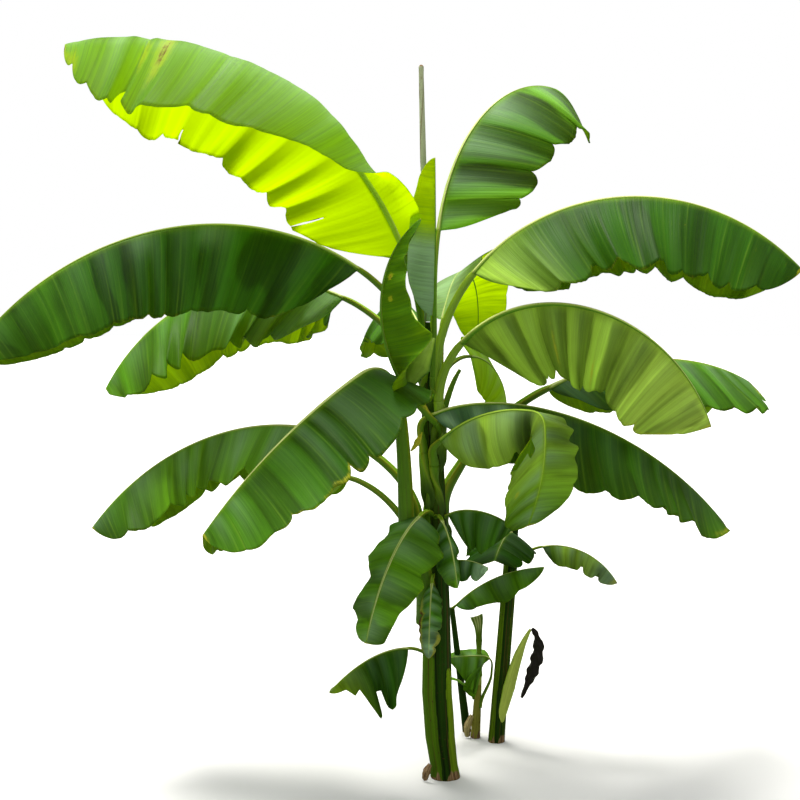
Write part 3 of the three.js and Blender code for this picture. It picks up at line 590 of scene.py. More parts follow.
leafRule = {
    "stationGap": 5.4,          # distance between stations along a blade
    "halfColumns": 22,          # columns of faces in half a blade
    "smallColumns": 14,
    "thickness": 1.2,
    "tipShape": (2.6, 0.62),
    "stalkTaper": 0.78,
    "stalkFlatness": 0.85,
    "veinLean": 0.15,
    "midribSteps": 240,
    "lowerPart": (0.4, 0.62),   # where underBase and thinBase give way to the rest of a blade
    "small": 500,               # a blade shorter than this is made finer, with fewer columns
    "smallGap": 0.6,
    "narrowest": 1.5,
    "ragged": [(0.012, 0.045), (0.006, 0.012)],   # of the margin: strength, and wave in metres
    "uneven": (8, 0.15),        # how a half tilts up and down along the leaf: degrees, and wave
    "stagger": 0.37,            # how far the folds of one half are ahead of the other's
    "fullDepthFrom": 120,       # a narrower half has shallower folds
}


def direction(leaf, s):
    s = np.asarray(s, float)
    place, angle, length = leaf["kink"]
    k = smooth((s - place) / length + 0.5)
    slope = np.radians(leaf["rise"] - leaf["bend"] * s ** leaf["late"] - angle * k)
    turn = np.radians(leaf["heading"] + leaf["sweep"] * s ** 1.5)
    along = np.stack([np.cos(slope) * np.cos(turn), np.cos(slope) * np.sin(turn), np.sin(slope)], -1)
    right = np.stack([np.sin(turn), -np.cos(turn), np.zeros_like(turn)], -1)
    return along, right, np.cross(right, along)


def midrib(leaf, s):
    # points and directions at s, from 0 at the foot to 1 at the tip
    steps = leafRule["midribSteps"]
    total = (leaf["stalk"] + leaf["blade"]) * mm
    middles = (np.arange(steps) + 0.5) / steps
    walked = np.cumsum(direction(leaf, middles)[0] * total / steps, axis=0)
    knots = np.vstack([np.zeros(3), walked]) + np.array(leaf["foot"]) * mm
    ends = np.linspace(0, 1, steps + 1)
    points = np.stack([np.interp(s, ends, knots[:, i]) for i in range(3)], -1)
    return (points, *direction(leaf, s))


def stalkShare(leaf):
    return leaf["stalk"] / (leaf["stalk"] + leaf["blade"])


def outline(leaf, t):
    base = np.sqrt(1 - (1 - np.clip(t / leaf["baseRound"], 0, 1)) ** 2)
    x = np.clip((t - 1 + leaf["tipRound"]) / leaf["tipRound"], 0, 1)
    power, bluntness = leafRule["tipShape"]
    return base * (1 - x ** power) ** bluntness


def halfAndSeed(leaf, side):
    half = 0 if side < 0 else 1
    return half, leaf["seed"] * 10 + half


def foldPhase(leaf, t, side):
    # whole numbers at the creases between the broad folds of a half
    count, depth, wander = leaf["pleats"]
    half, seed = halfAndSeed(leaf, side)
    return count * t + wander * lineNoise(t * count * 0.7, seed + 3) + leafRule["stagger"] * half


def marginWidth(leaf, t, side):
    # width of a half at each station: its outline with bays, bites and a slightly ragged edge
    half, seed = halfAndSeed(leaf, side)
    length = leaf["blade"] * mm
    share = outline(leaf, t)
    if side in leaf["margin"]:
        places, shares = zip(*leaf["margin"][side])
        share = share * np.interp(t, places, shares)
    for bitten, place, depth, long in leaf["bites"]:
        if bitten == side:
            share = share * (1 - depth * np.exp(-np.abs(t - place) / long))
    bay = 1 - np.abs(np.sin(np.pi * foldPhase(leaf, t, side)))
    share = share * (1 - leaf["scallop"] * bay ** 2 * (0.6 + 0.5 * lineNoise(t * 7, seed)))
    ragged = 1
    for number, (strength, wave) in enumerate(leafRule["ragged"]):
        ragged = ragged + strength * lineNoise(t * length / wave, seed + number)
    return np.maximum(leafRule["narrowest"] * mm, leaf["width"][half] * mm * share * ragged)


def halfBlade(leaf, t, place, side, columns):
    # grid of points from the midrib out to the margin of one half, and the share u of the way out
    points, along, right, up = place
    half, seed = halfAndSeed(leaf, side)
    length = leaf["blade"] * mm
    width = marginWidth(leaf, t, side)
    lift = mix(leaf["lift"][half], leaf["tipLift"][half], t)
    droop = mix(leaf["droop"][half], leaf["tipDroop"][half], t)
    droop = droop * mix(leaf["baseDroop"][half], 1, smooth(t, 0.05, 0.27))
    curl = leaf["curl"][half]
    hang = unit(mix(up, np.array([0.0, 0, 1]), leaf["gravity"]))
    middle = (np.arange(columns) + 0.5) / columns
    angle = lift[:, None] - droop[:, None] * np.minimum(1, middle / curl)[None, :]
    turn, wave = leafRule["uneven"]
    angle = angle + turn * lineNoise(t * length / wave, seed + 2)[:, None] * middle[None, :]
    for tornHalf, tornPlace, inward, gap, drop in leaf["tears"]:
        if tornHalf == side:
            reach = smooth(middle, 1 - inward, 1)[None, :]
            near = np.exp(-np.abs(t - tornPlace) * length / 0.09)[:, None]
            angle = angle + drop * np.sign(t - tornPlace)[:, None] * near * reach
    angle = np.radians(angle)
    step = (width / columns)[:, None, None]
    sideways = side * np.cos(angle)[..., None] * right[:, None, :]
    move = step * (sideways + np.sin(angle)[..., None] * hang[:, None, :])
    grid = np.concatenate([np.zeros((len(t), 1, 3)), np.cumsum(move, axis=1)], axis=1) + points[:, None, :]
    u = np.linspace(0, 1, columns + 1)
    lean = (width[:, None] * leafRule["veinLean"] * u[None, :] ** 1.5)[..., None] * along[:, None, :]
    grid = grid + lean
    for tornHalf, tornPlace, inward, gap, drop in leaf["tears"]:
        if tornHalf == side:
            reach = smooth(u, 1 - inward, 1)[None, :]
            near = np.exp(-np.abs(t - tornPlace) * length / 0.05)[:, None]
            shift = 0.5 * gap * mm * np.sign(t - tornPlace)[:, None] * near * reach
            grid = grid + shift[..., None] * along[:, None, :]
    return grid, u, width


# Ripples between the folds: height, wave in metres, how late they grow outward, and their seed
ripples = {"fine": (0.9, 0.017, 0.5, 5), "broad": (2.6, 0.045, 0.8, 6), "rim": (4, 0.05, 6, 7)}


def pleated(leaf, t, grid, u, width, side):
    # broad folds along the veins, and finer ribs between them
    depth = leaf["pleats"][1]
    half, seed = halfAndSeed(leaf, side)
    across = np.gradient(grid, axis=1)
    along = np.gradient(grid, axis=0)
    normal = unit(np.cross(along, across) * side)
    phase = foldPhase(leaf, t, side)
    rounded = np.abs(np.sin(np.pi * phase)) * 2 - 1
    wave = mix(ridge(phase), rounded, leaf["soft"])
    strength = 0.62 + 0.7 * lineNoise(phase * 0.6 + 9, seed + 4)
    room = np.minimum(1, width / (leafRule["fullDepthFrom"] * mm))
    fold = (depth * mm * wave * strength * room)[:, None] * u[None, :] ** 1.15

    def ripple(kind):
        height, length, growth, number = ripples[kind]
        line = height * mm * lineNoise(t * leaf["blade"] * mm / length, seed + number) * room
        return line[:, None] * u[None, :] ** growth

    return grid + normal * (fold + (ripple("fine") + ripple("broad")) + ripple("rim"))[..., None]


# How a blade is painted. Waves and other lengths are in metres.
paintRule = {
    "wander": (0.13, 0.06),     # wave and strength of the shift of the two places below
    "toMiddle": (0.03, 0.3),    # where the tint of the base gives way to that of the middle
    "toTip": (0.5, 1.0),
    "bands": [(0.105, 0.26), (0.042, 0.20), (0.018, 0.09)],   # painted light and shade in bands along the veins: wave and strength
    "hairs": (0.011, 0.3),      # the same for the thinnest bands
    "creaseShade": (0.35, 0.004),    # painted shade in a crease: how dark, and how wide
    "mostWaxAndSheen": 0.85,
    "besideRib": (0.3, 0.05),   # how lime a blade is beside its midrib, and how far out
    "underBands": 0.5,          # how much of the bands the underside shows
    "dryRim": (0.13, 0.97),     # dryness of the margin, and the distance out where it starts
    "dryTip": 0.985,            # place where the dried tip starts
    "dryTear": (0.75, 0.005, 0.03),   # dryness beside a tear, how far along, how softly across
}


def bladeColours(leaf, t, columns):
    # tint of both faces, with painted light, shade and sheen, and dryness, over the whole width; the whole
    # numbers that are added to the seed keep the random lines apart
    baseTint, middleTint, tipTint, underTint = (tone(k) for k in leaf["tints"])
    across = np.linspace(-1, 1, 2 * columns + 1)
    side = np.where(across < 0, 0, 1)
    out = np.abs(across)[None, :]
    length = leaf["blade"] * mm
    seed = leaf["seed"] * 10

    def overWidth(values):
        # values along the left and the right half, spread over the columns
        return np.stack(list(values), -1)[:, side]

    def halves(wave, number):
        return overWidth(lineNoise(t * length / wave, seed + number + half) for half in (0, 1))

    def patch(half, place, middle, long, wide):
        # 0 in the middle of a patch, 1 at its rim
        return ((t[:, None] - place) / long) ** 2 + ((across[None, :] * half - middle) / wide) ** 2

    wave, strength = paintRule["wander"]
    shift = halves(wave, 11)
    moved = t[:, None] + strength * shift
    tint = mix(baseTint, middleTint, smooth(moved, *paintRule["toMiddle"])[..., None])
    tint = mix(tint, tipTint, smooth(moved, *paintRule["toTip"])[..., None])
    # painted light and shade in bands along the veins, with the leaf's own thin streaks
    bands = sum(strength * halves(wave, 13 + 2 * i) for i, (wave, strength) in enumerate(paintRule["bands"]))
    wave, strength = paintRule["hairs"]
    hairs = halves(wave, 25)
    bands = bands + strength * np.sign(hairs) * np.abs(hairs) ** 3
    fade = 0.7 + 0.4 * lineNoise(out * 3 + 5 * t[:, None], seed + 21)
    tint = tint * (1 + leaf["bandShading"] * bands * fade)[..., None]
    # painted light and shade on the fold facets: a random tone for each, and an alternating light and dark
    # one
    phase = overWidth(foldPhase(leaf, t, half) for half in (-1, 1))
    bent = phase * 2 + 0.3 * lineNoise(out * 2.2 + side * 5 + 2, seed + 27)
    facet = np.floor(bent)
    toNext = smooth(bent - facet, 0.8, 1)
    facetShade = mix(lineNoise(facet * 1.7, seed + 29), lineNoise((facet + 1) * 1.7, seed + 29), toNext)
    alternateShade = mix(np.cos(np.pi * facet), np.cos(np.pi * (facet + 1)), toNext)
    facetShade = leaf["facets"] * facetShade + leaf["fanShading"] * alternateShade
    tint = tint * (1 + facetShade * smooth(out, 0.0, 0.15))[..., None]
    # painted shade in the creases between the folds
    apart = np.abs((phase + 0.5) % 1 - 0.5) * length / leaf["pleats"][0]
    dark, wide = paintRule["creaseShade"]
    tint = tint * (1 - dark * np.exp(-(apart / wide) ** 2) * smooth(out, 0.1, 0.5))[..., None]
    # pale wax bloom with painted sheen, whitish on the fold crests beside the midrib
    crest = np.abs(np.sin(np.pi * phase))
    bloomAndSheen = leaf["bloomAndSheen"] * (1 - out) ** 1.3 * crest ** 2 * smooth(out, 0.0, 0.08)
    # patches of painted sheen, whitish highlights
    for *where, strength in leaf["paintedSheen"]:
        bloomAndSheen = bloomAndSheen + strength * np.exp(-patch(*where)) * (0.75 + 0.5 * halves(0.03, 19))
    tint = mix(tint, tone("waxAndSheen"), np.clip(bloomAndSheen, 0, paintRule["mostWaxAndSheen"])[..., None])
    strength, wide = paintRule["besideRib"]
    tint = mix(tint, tone("lime"), strength * np.exp(-(out / wide) ** 2)[..., None])
    # painted shade: dark patches, such as the shadow of a fold
    for *where, strength in leaf["shade"]:
        tint = tint * (1 - strength * np.exp(-patch(*where) ** 2))[..., None]
    under = mix(tone(leaf["underBase"]), underTint, smooth(t, *leafRule["lowerPart"])[:, None, None])
    under = under * (1 + paintRule["underBands"] * bands * fade)[..., None]
    dryness, rim = paintRule["dryRim"]
    dry = dryness * smooth(out, rim, 1.0) * (0.6 + 0.8 * np.abs(shift))
    dry = dry + leaf["tipDry"] * smooth(t, paintRule["dryTip"], 1.0)[:, None] * (0.8 + 0.4 * shift)
    for *where, strength in leaf["scorch"]:
        dry = dry + strength * np.exp(-patch(*where))
    dryness, long, soft = paintRule["dryTear"]
    for half, place, inward, gap, drop in leaf["tears"]:
        beside = np.exp(-np.abs(t - place) * length / long)[:, None]
        reach = smooth(across * half, 1 - inward - soft, 1 - inward + soft)[None, :]
        dry = dry + dryness * beside * reach
    return tint, under, np.clip(dry, 0, 1)


def makeBlade(leaf):
    small = leaf["blade"] < leafRule["small"]
    columns = leafRule["smallColumns"] if small else leafRule["halfColumns"]
    count = int(leaf["blade"] / (leafRule["stationGap"] * (leafRule["smallGap"] if small else 1)))
    even = np.linspace(0, 1, count + 1)
    t = mix(even, 0.5 - 0.5 * np.cos(np.pi * even), 0.35)
    share = stalkShare(leaf)
    place = midrib(leaf, mix(share, 1, t))
    halves = []
    for side in (-1, 1):
        grid, u, width = halfBlade(leaf, t, place, side, columns)
        halves.append(pleated(leaf, t, grid, u, width, side))
    grid = np.concatenate([halves[0][:, ::-1], halves[1][:, 1:]], axis=1)
    rows, wide = grid.shape[:2]
    faces = gridFaces(rows, wide).reshape(rows - 1, wide - 1, 4)
    keep = np.ones((rows - 1, wide - 1), bool)
    outward = (np.arange(wide - 1) + 0.5 - columns) / columns
    for half, tornPlace, inward, gap, drop in leaf["tears"]:
        row = int(np.searchsorted(t, tornPlace)) - 1
        keep[row] &= ~(outward * half > 1 - inward)
    faces = faces[keep]
    across = np.linspace(-1, 1, wide)
    length = t * leaf["blade"] * mm
    uv = together(length[:, None] + leaf["seed"] * 3.1, across[None, :] * 0.3 + leaf["seed"]).reshape(-1, 2)
    tint, under, dry = bladeColours(leaf, t, columns)
    finishes = [topFinish] if leaf["joined"] else [topFinish, underFinish]
    made = makeObject("blade_" + leaf["name"], grid.reshape(-1, 3), faces, uv, finishes)
    addColours(made.data, "tint", tint.reshape(-1, 3))
    addColours(made.data, "tintUnder", under.reshape(-1, 3))
    addNumbers(made.data, "dry", dry)
    thin = mix(leaf["thinBase"], leaf["thin"], smooth(t, *leafRule["lowerPart"]))
    addNumbers(made.data, "thin", np.repeat(thin, wide))
    shell = made.modifiers.new("thickness", "SOLIDIFY")
    shell.thickness = leafRule["thickness"] * mm
    shell.offset = 0
    shell.material_offset = len(finishes) - 1
    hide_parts("leaf_" + leaf["name"])
    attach(made, "root")


# Stalks and midribs: one swept section with a channel along its upper side

stalkRule = {
    "sides": 24,
    "stalkRings": 40,
    "ribSides": 16,
    "ribRings": 110,
    "ribEnd": 1.2,              # half width of a midrib at the tip of its leaf
    "runOn": 5.0,               # how far a stalk runs on into its blade, in stalk thicknesses
    "sheathRings": 26,
    "sheathFlare": 1.5,         # how much wider a long sheath is at its foot
    "sheathReach": 240,         # how far a sheath runs down the stem, for the thickest stalks
    "sheathWide": 42,
    "sheathThick": 5,
    "sheathBed": 15,            # how deep its foot is sunk in the stem
    "thickStalk": 15,           # a thinner stalk has a shorter and narrower sheath
}


def sweep(points, right, up, halfWidth, halfDepth, channel, sides):
    # rings of an oval section whose upper side is hollowed by channel, from 0 to 1
    x, y = circle(sides)
    hollow = np.exp(-(x / 0.5) ** 2) * (y > 0)
    y = y * (1 - 1.3 * channel[:, None] * hollow) + 0.35 * channel[:, None] * (y > -0.2) * np.abs(x) ** 6
    return placed(points, right, up, x * halfWidth[:, None], y * halfDepth[:, None])


def sweepColours(leaf, count, channel):
    # dark green body, lime channel, yellow lines along the channel's two rims
    sides = stalkRule["sides"]
    height = np.sin(around(sides))
    wing = np.exp(-((height - 0.25) / 0.25) ** 2)[None, :] * np.clip(channel * 1.2, 0, 1)[:, None]
    wing = wing * (1 - 0.8 * (leaf["split"] != 0))
    inside = smooth(height - leaf["split"], 0.1, 0.55)[None, :]
    colour = tone(leaf["body"]) * np.ones((count, sides, 1))
    colour = mix(colour, tone(leaf["inside"]), (0.75 * inside * np.ones((count, 1)))[..., None])
    return mix(colour, tone("yellow"), 0.8 * wing[..., None]).reshape(-1, 3)


def sweepObject(name, rings, lengths, width, colours, dry, material=None):
    count, sides = rings.shape[:2]
    faces = [list(f)[::-1] for f in gridFaces(count, sides, closed=True)]
    faces.append(list(range(sides)))
    faces.append(list(range((count - 1) * sides, count * sides))[::-1])
    side = np.abs(np.arange(sides) / sides - 0.5) * 2
    uv = together(lengths[:, None], side[None, :] * width).reshape(-1, 2)
    made = makeObject(name, rings.reshape(-1, 3), faces, uv, [material or stalkMaterial])
    addColours(made.data, "tint", colours)
    addNumbers(made.data, "dry", dry)
    return made


def tubeObject(name, line, radius, lengths, width, colour, dry, material=None):
    # rings round an upright line, taken the other way round so that the faces look outward
    x, y, z = (part[:, None] for part in line)
    cosines, sines = circle(radius.shape[1])
    points = together(x + radius * cosines, y + radius * sines, z)
    return sweepObject(name, points[:, ::-1], lengths, width, colour[:, ::-1].reshape(-1, 3),
                       dry[:, ::-1].reshape(-1), material)


def makeRib(leaf):
    # the midrib runs on from the stalk through the blade: round below, a narrow pale ridge on top
    t = np.linspace(0, 1, stalkRule["ribRings"])
    share = stalkShare(leaf)
    points, along, right, up = midrib(leaf, mix(share, 1, t))
    start = leaf["thick"] * leafRule["stalkTaper"]
    end = stalkRule["ribEnd"]
    radius = ((start - end) * (1 - t) ** 0.9 + end) * mm
    sides = stalkRule["ribSides"]
    x, y = circle(sides)
    above = smooth(y, -0.35, 0.15)
    onBlade = smooth(t, 0.0, 0.12)[:, None]
    wide = mix(mix(1.0, leaf["belly"], onBlade), mix(1.0, leaf["crest"], onBlade), above)
    groove = 1 - 0.8 * np.exp(-(x / 0.3) ** 2)
    tall = mix(0.95, 0.32 * groove, above)
    rings = placed(points, right, up, x * wide * radius[:, None], y * tall * radius[:, None])
    colour = mix(tone(leaf["ribUnder"]), tone("gold"), smooth(y[0], -0.5, -0.1)[:, None])
    top = mix(tone("lime"), tone(leaf["ribTop"]), smooth(np.abs(x[0]), 0.1, 0.5)[:, None])
    colour = mix(colour, top, smooth(y[0], -0.1, 0.2)[:, None])
    colours = np.tile(colour, (len(t), 1))
    made = sweepObject("rib_" + leaf["name"], rings, t * leaf["blade"] * mm + leaf["seed"], 0.05, colours,
                       np.repeat(0.8 * smooth(t, 0.97, 1.0), sides))
    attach(made, "root")


def bezier(a, b, c, d, count):
    k = np.linspace(0, 1, count)[:, None]
    return (1 - k) ** 3 * a + 3 * k * (1 - k) ** 2 * b + 3 * k * k * (1 - k) * c + k ** 3 * d


# Stems: height, offset along X and along Y, radius
stems = {
    "main": {"rows": [(0, 0, 0, 50), (45, -5, 0, 47), (140, -18, 0, 51), (300, -28, 0, 54),
                      (580, -29, 0, 49), (860, -36, 0, 44), (1080, -42, 0, 40), (1300, -54, 0, 35),
                      (1450, -60, 0, 28), (1560, -65, 0, 19)],
             "rings": 390, "sides": 168, "base": "moss", "flare": 0.06},
    "second": {"rows": [(0, 203, 300, 30), (800, 258, 290, 25)],
               "rings": 200, "sides": 96, "base": "moss", "flare": 0.04},
    "thin": {"rows": [(0, 100, 390, 17), (505, 37, 300, 11)],
             "rings": 120, "sides": 60, "base": "olive", "flare": 0.03},
    "sucker": {"rows": [(0, 128, 335, 19), (235, 140, 330, 13)],
               "rings": 70, "sides": 60, "base": "gold", "flare": 0.03},
}

# Sheaths wrapped round a stem, the inner ones first. facing: the middle of a sheath, 0 to the
# right and 270 to the front. spread and neck: its half width in degrees at its foot and its top.
sheathKeys = ("facing", "spread", "neck", "top", "thick", "tint", "edge")
sheathRows = {
    "main": [
        (90, 120, 40, 1500, 3.0, "stalk", "brown"),
        (20, 95, 35, 1420, 4.0, "bark", "lime"),
        (195, 110, 35, 1440, 4.5, "bark", "rust"),
        (300, 60, 30, 1330, 5.0, "olive", "brown"),
        (340, 58, 30, 1240, 5.5, "moss", "brown"),
        (135, 80, 35, 1150, 6.5, "bark", "rust"),
        (40, 62, 30, 980, 8.0, "olive", "yellow"),
        (287, 36, 24, 860, 9.0, "moss", "dark"),
        (216, 48, 26, 960, 11.0, "stalk", "dark"),
        (328, 36, 14, 400, 13.0, "leek", "lime"),
    ],
    "second": [
        (90, 120, 60, 830, 2.0, "stalk", "yellow"),
        (275, 62, 42, 800, 3.2, "moss", "brown"),
        (207, 48, 40, 780, 4.6, "strap", "rust"),
        (335, 38, 26, 700, 6.0, "bark", "lime"),
    ],
    "thin": [
        (90, 100, 60, 520, 1.4, "olive", "brown"),
        (250, 70, 50, 500, 2.6, "moss", "rust"),
    ],
    "sucker": [
        (80, 110, 70, 240, 1.4, "fresh", "lime"),
        (260, 80, 60, 210, 2.8, "ochre", "rust"),
    ],
}
sheaths = {stem: [dict(zip(sheathKeys, row)) for row in rows] for stem, rows in sheathRows.items()}


def stemAt(stem, z):
    # centre and radius of a stem at height z, in metres
    rows = np.array(stem["rows"], float) * mm
    return [np.interp(z, rows[:, 0], rows[:, i]) for i in (1, 2, 3)]


sheathRule = {
    "sunk": 0.75,               # share of the thickest sheath that is taken off the stem first
    "wander": (7, 0.17),        # how far a sheath turns from side to side: degrees, and wave
    "uneven": (0.05, 0.06),     # how its width changes: strength, and wave
    "closing": 1.4,             # how late it narrows from spread to neck
    "lip": 2.4,                 # degrees over which its edge rises
    "end": 0.03,                # height over which its top sinks in
    "edgeWide": 2.2,            # half width in degrees of the tinted edge
    "creaseShade": (2.5, 3.0, 0.7),  # painted shade, a dark line beside the edge: how far off, how wide, how dark
    "dryFoot": (0.012, 0.028),  # height to which the foot of a stem is dried, and how uneven
}


def makeStem(name, node):
    stem = stems[name]
    rule = sheathRule
    top = stem["rows"][-1][0] * mm
    z = np.linspace(0, top, stem["rings"])
    turn = around(stem["sides"])
    x, y, radius = stemAt(stem, z)
    deepest = max(s["thick"] for s in sheaths[name]) * mm
    r = (radius - rule["sunk"] * deepest)[:, None] * np.ones_like(turn)[None, :]
    raised = np.zeros_like(r)
    colour = tone(stem["base"]) * np.ones((*r.shape, 1))
    for layer, sheath in enumerate(sheaths[name]):
        degrees, wave = rule["wander"]
        middle = sheath["facing"] + degrees * lineNoise(z / wave + 3, 40 + layer)
        off = (np.degrees(turn)[None, :] - middle[:, None] + 180) % 360 - 180
        below = sheath["top"] * mm - z
        closed = (z / (sheath["top"] * mm)).clip(0, 1) ** rule["closing"]
        width = mix(sheath["spread"], sheath["neck"], closed)[:, None]
        strength, wave = rule["uneven"]
        width = width * (1 + strength * lineNoise(z / wave, 70 + layer))[:, None]
        inside = smooth(width - np.abs(off), 0, rule["lip"]) * smooth(below, 0.0, rule["end"])[:, None]
        swell = 0.45 + 0.55 * np.cos(np.clip(off / width, -1, 1) * np.pi / 2) ** 0.7
        rise = sheath["thick"] * mm * swell * inside
        over = smooth(rise - raised, 0.0, 0.25 * mm)
        uneven = 0.7 + 0.4 * lineNoise(z / 0.05, 55 + layer)[:, None]
        band = np.exp(-((width - np.abs(off)) / rule["edgeWide"]) ** 2) * uneven
        own = tone(sheath["tint"]) * (1 + 0.25 * lineNoise(turn * 9 + layer, 90 + layer))[None, :, None]
        own = mix(own, tone(sheath["edge"]), (0.75 * band)[..., None])
        # painted shade: a dark line on the layer beneath, beside each sheath's edge
        beside, wide, dark = rule["creaseShade"]
        creaseShade = np.exp(-((np.abs(off) - width - beside) / wide) ** 2) * (raised < sheath["thick"] * mm * 0.9)
        colour = colour * (1 - dark * creaseShade * smooth(below, 0, 0.02)[:, None])[..., None]
        colour = mix(colour, own, over[..., None])
        raised = np.maximum(raised, rise)
    ribs = 0.35 * mm * lineNoise(turn * stem["sides"] / 9, 33)[None, :]
    flare = 0.03 * radius[0] * np.exp(-z / stem["flare"])[:, None]
    r = r + raised + ribs + flare
    # painted shade near the floor: darker towards the foot of the stem
    lower = smooth(z, 0.0, 0.5)[:, None, None]
    colour = colour * (0.72 + 0.28 * lower)
    height, uneven = rule["dryFoot"]
    ragged = np.maximum(0.002, height + uneven * lineNoise(turn * 4, 12))
    dry = 0.8 * (1 - smooth(z[:, None], ragged[None, :] * 0.4, ragged[None, :] * 1.3))
    made = tubeObject(name + "Stem", (x, y, z), r, z, math.pi * radius.max(), colour, dry,
                      stemMaterial)
    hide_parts(node)
    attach(made, "root")


def stalkPath(leaf):
    # sheath and stalk together: points, directions and half sizes, and where the lowest point is
    reach = 1 + stalkRule["runOn"] * leaf["thick"] / leaf["stalk"]
    rise = np.linspace(0, reach, stalkRule["stalkRings"])
    share = stalkShare(leaf)
    points, along, right, up = midrib(leaf, rise * share)
    radius = mix(leaf["thick"], leaf["thick"] * leafRule["stalkTaper"], rise) * mm
    radius = radius * (1 - 0.75 * smooth(rise, 1 - 0.3 * (reach - 1), reach))
    points = points - up * (leaf["thick"] * 0.35 * mm * smooth(rise, 1 - 0.5 * (reach - 1), reach))[:, None]
    foot, firstAlong, firstRight = points[0], along[0], right[0]
    parts = [(points, right, up, radius, radius * leafRule["stalkFlatness"])]
    if leaf["start"]:
        start = np.array(leaf["start"]) * mm
        reach = np.linalg.norm(foot - start) / 3
        count = stalkRule["sheathRings"]
        curve = bezier(start, start + np.array([0, 0, reach]), foot - firstAlong * reach, foot, count)
        tangent = unit(np.gradient(curve, axis=0))
        upward = unit(np.cross(firstRight, tangent))
        size = radius[0] * np.linspace(stalkRule["sheathFlare"], 1, count)[:-1]
        parts.insert(0, (curve[:-1], np.tile(firstRight, (count - 1, 1)), upward[:-1], size,
                         size * leafRule["stalkFlatness"]))
        foot, firstAlong = start, np.array([0.0, 0, 1])
    return [np.concatenate([part[i] for part in parts]) for i in range(5)], foot, firstAlong


def makeStalk(leaf):
    (points, right, up, width, depth), foot, firstAlong = stalkPath(leaf)
    count = len(points)
    k = np.arange(count) / count
    channel = 0.35 + 0.65 * smooth(k, 0.0, 0.3) * (1 - 0.8 * smooth(k, 0.85, 1.0))
    sides = stalkRule["sides"]
    rings = sweep(points, right, up, width, depth, channel, sides)
    lengths = np.concatenate([[0], np.cumsum(np.linalg.norm(np.diff(points, axis=0), axis=1))])
    made = sweepObject("stalk_piece_" + leaf["name"], rings, lengths + leaf["seed"], 0.08,
                       sweepColours(leaf, count, channel), np.zeros(count * sides))
    if not leaf["joined"]:
        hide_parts("stalk_" + leaf["name"])
    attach(made, "root")
    if leaf["name"].startswith(("second", "thin", "sucker")):
        return
    # the sheath runs on down the stem, flatter and wider, until it is lost in it
    share = min(1.0, leaf["thick"] / stalkRule["thickStalk"])
    reach = stalkRule["sheathReach"] * share * mm
    low = max(0.01, foot[2] - reach)
    x, y, radius = stemAt(stems["main"], low)
    centre = np.array([x, y, low])
    topX, topY, topRadius = stemAt(stems["main"], foot[2])
    outward = unit(np.array([foot[0] - topX, foot[1] - topY, 0.0]) + firstAlong * np.array([0.01, 0.01, 0]))
    start = centre + outward * (radius - stalkRule["sheathBed"] * mm)
    half = (foot[2] - low) / 2.2
    count = stalkRule["sheathRings"]
    curve = bezier(start, start + np.array([0, 0, half]), foot - firstAlong * half * 0.8, foot, count)
    tangent = unit(np.gradient(curve, axis=0))
    sideways = unit(mix(np.cross(tangent, outward), right[0], np.linspace(0, 1, count)[:, None] ** 2))
    upward = unit(np.cross(sideways, tangent))
    k = np.linspace(0, 1, count)
    wide = mix(stalkRule["sheathWide"] * share * mm, width[0], smooth(k)) * (0.3 + 0.7 * smooth(k, 0.0, 0.35))
    deep = mix(stalkRule["sheathThick"] * mm, depth[0], smooth(k, 0.2, 1.0))
    channel = np.full(count, 0.35)
    rings = sweep(curve, sideways, upward, wide, deep, channel, sides)
    colours = sweepColours(leaf, count, channel)
    colours = mix(tone("bark"), colours, np.repeat(smooth(k, 0.25, 1.0), sides)[:, None])
    made = sweepObject("sheath_" + leaf["name"], rings, k * reach + leaf["seed"], 0.1, colours,
                       np.zeros(count * sides))
    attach(made, "root")


for leaf in leaves:
    makeBlade(leaf)
    makeRib(leaf)
    makeStalk(leaf)
print("leaves made:", len(leaves))

for stemName, stemNode in (("main", "main_stem"), ("second", "second_stem"), ("thin", "thin_stem"),
                           ("sucker", "sucker_stem")):
    makeStem(stemName, stemNode)
print("stems made")

# The next leaf, still rolled: a spiral of one overlapping edge
spike = {"base": (-65, 0, 1562), "top": (-86, 0, 2398), "wide": 12.5, "narrow": 9.0, "turns": 1.3,
         "rings": 260, "sides": 48, "step": 1.4}


def makeSpike():
    k = np.linspace(0, 1, spike["rings"])
    turn = around(spike["sides"])
    base, top = np.array(spike["base"]) * mm, np.array(spike["top"]) * mm
    centre = mix(base, top, k[:, None])
    edge = 2 * np.pi * spike["turns"] * k[:, None] + 4.2
    lap = ((turn[None, :] - edge) % (2 * np.pi)) / (2 * np.pi)
    radius = mix(spike["wide"], spike["narrow"], k)[:, None] - spike["step"] * (1 - lap)
    radius = radius * (1 + 0.03 * lineNoise(k / 0.05, 5))[:, None]
    radius = radius * np.sqrt(1 - smooth(k, 0.992, 1.0) * 0.75)[:, None] * mm
    colour = mix(tone("bloom"), tone("parched"), smooth(k, 0.3, 0.75)[:, None, None])
    line = np.exp(-(lap / 0.03) ** 2) + np.exp(-((1 - lap) / 0.02) ** 2)
    colour = mix(colour * np.ones((1, spike["sides"], 1)), tone("rust"), (0.7 * line)[..., None])
    mottle = lineNoise(k / 0.012, 8)[:, None] * lineNoise(turn * 3, 9)[None, :]
    dry = 0.34 * smooth(k, 0.25, 0.9)[:, None] * (0.7 + 0.9 * mottle) + 0.8 * smooth(k, 0.99, 1.0)[:, None]
    made = tubeObject("rolledLeaf", centre.T, radius, k * 0.84, 0.08, colour, dry)
    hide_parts("rolled_leaf")
    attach(made, "root")


makeSpike()
print("rolled leaf made")

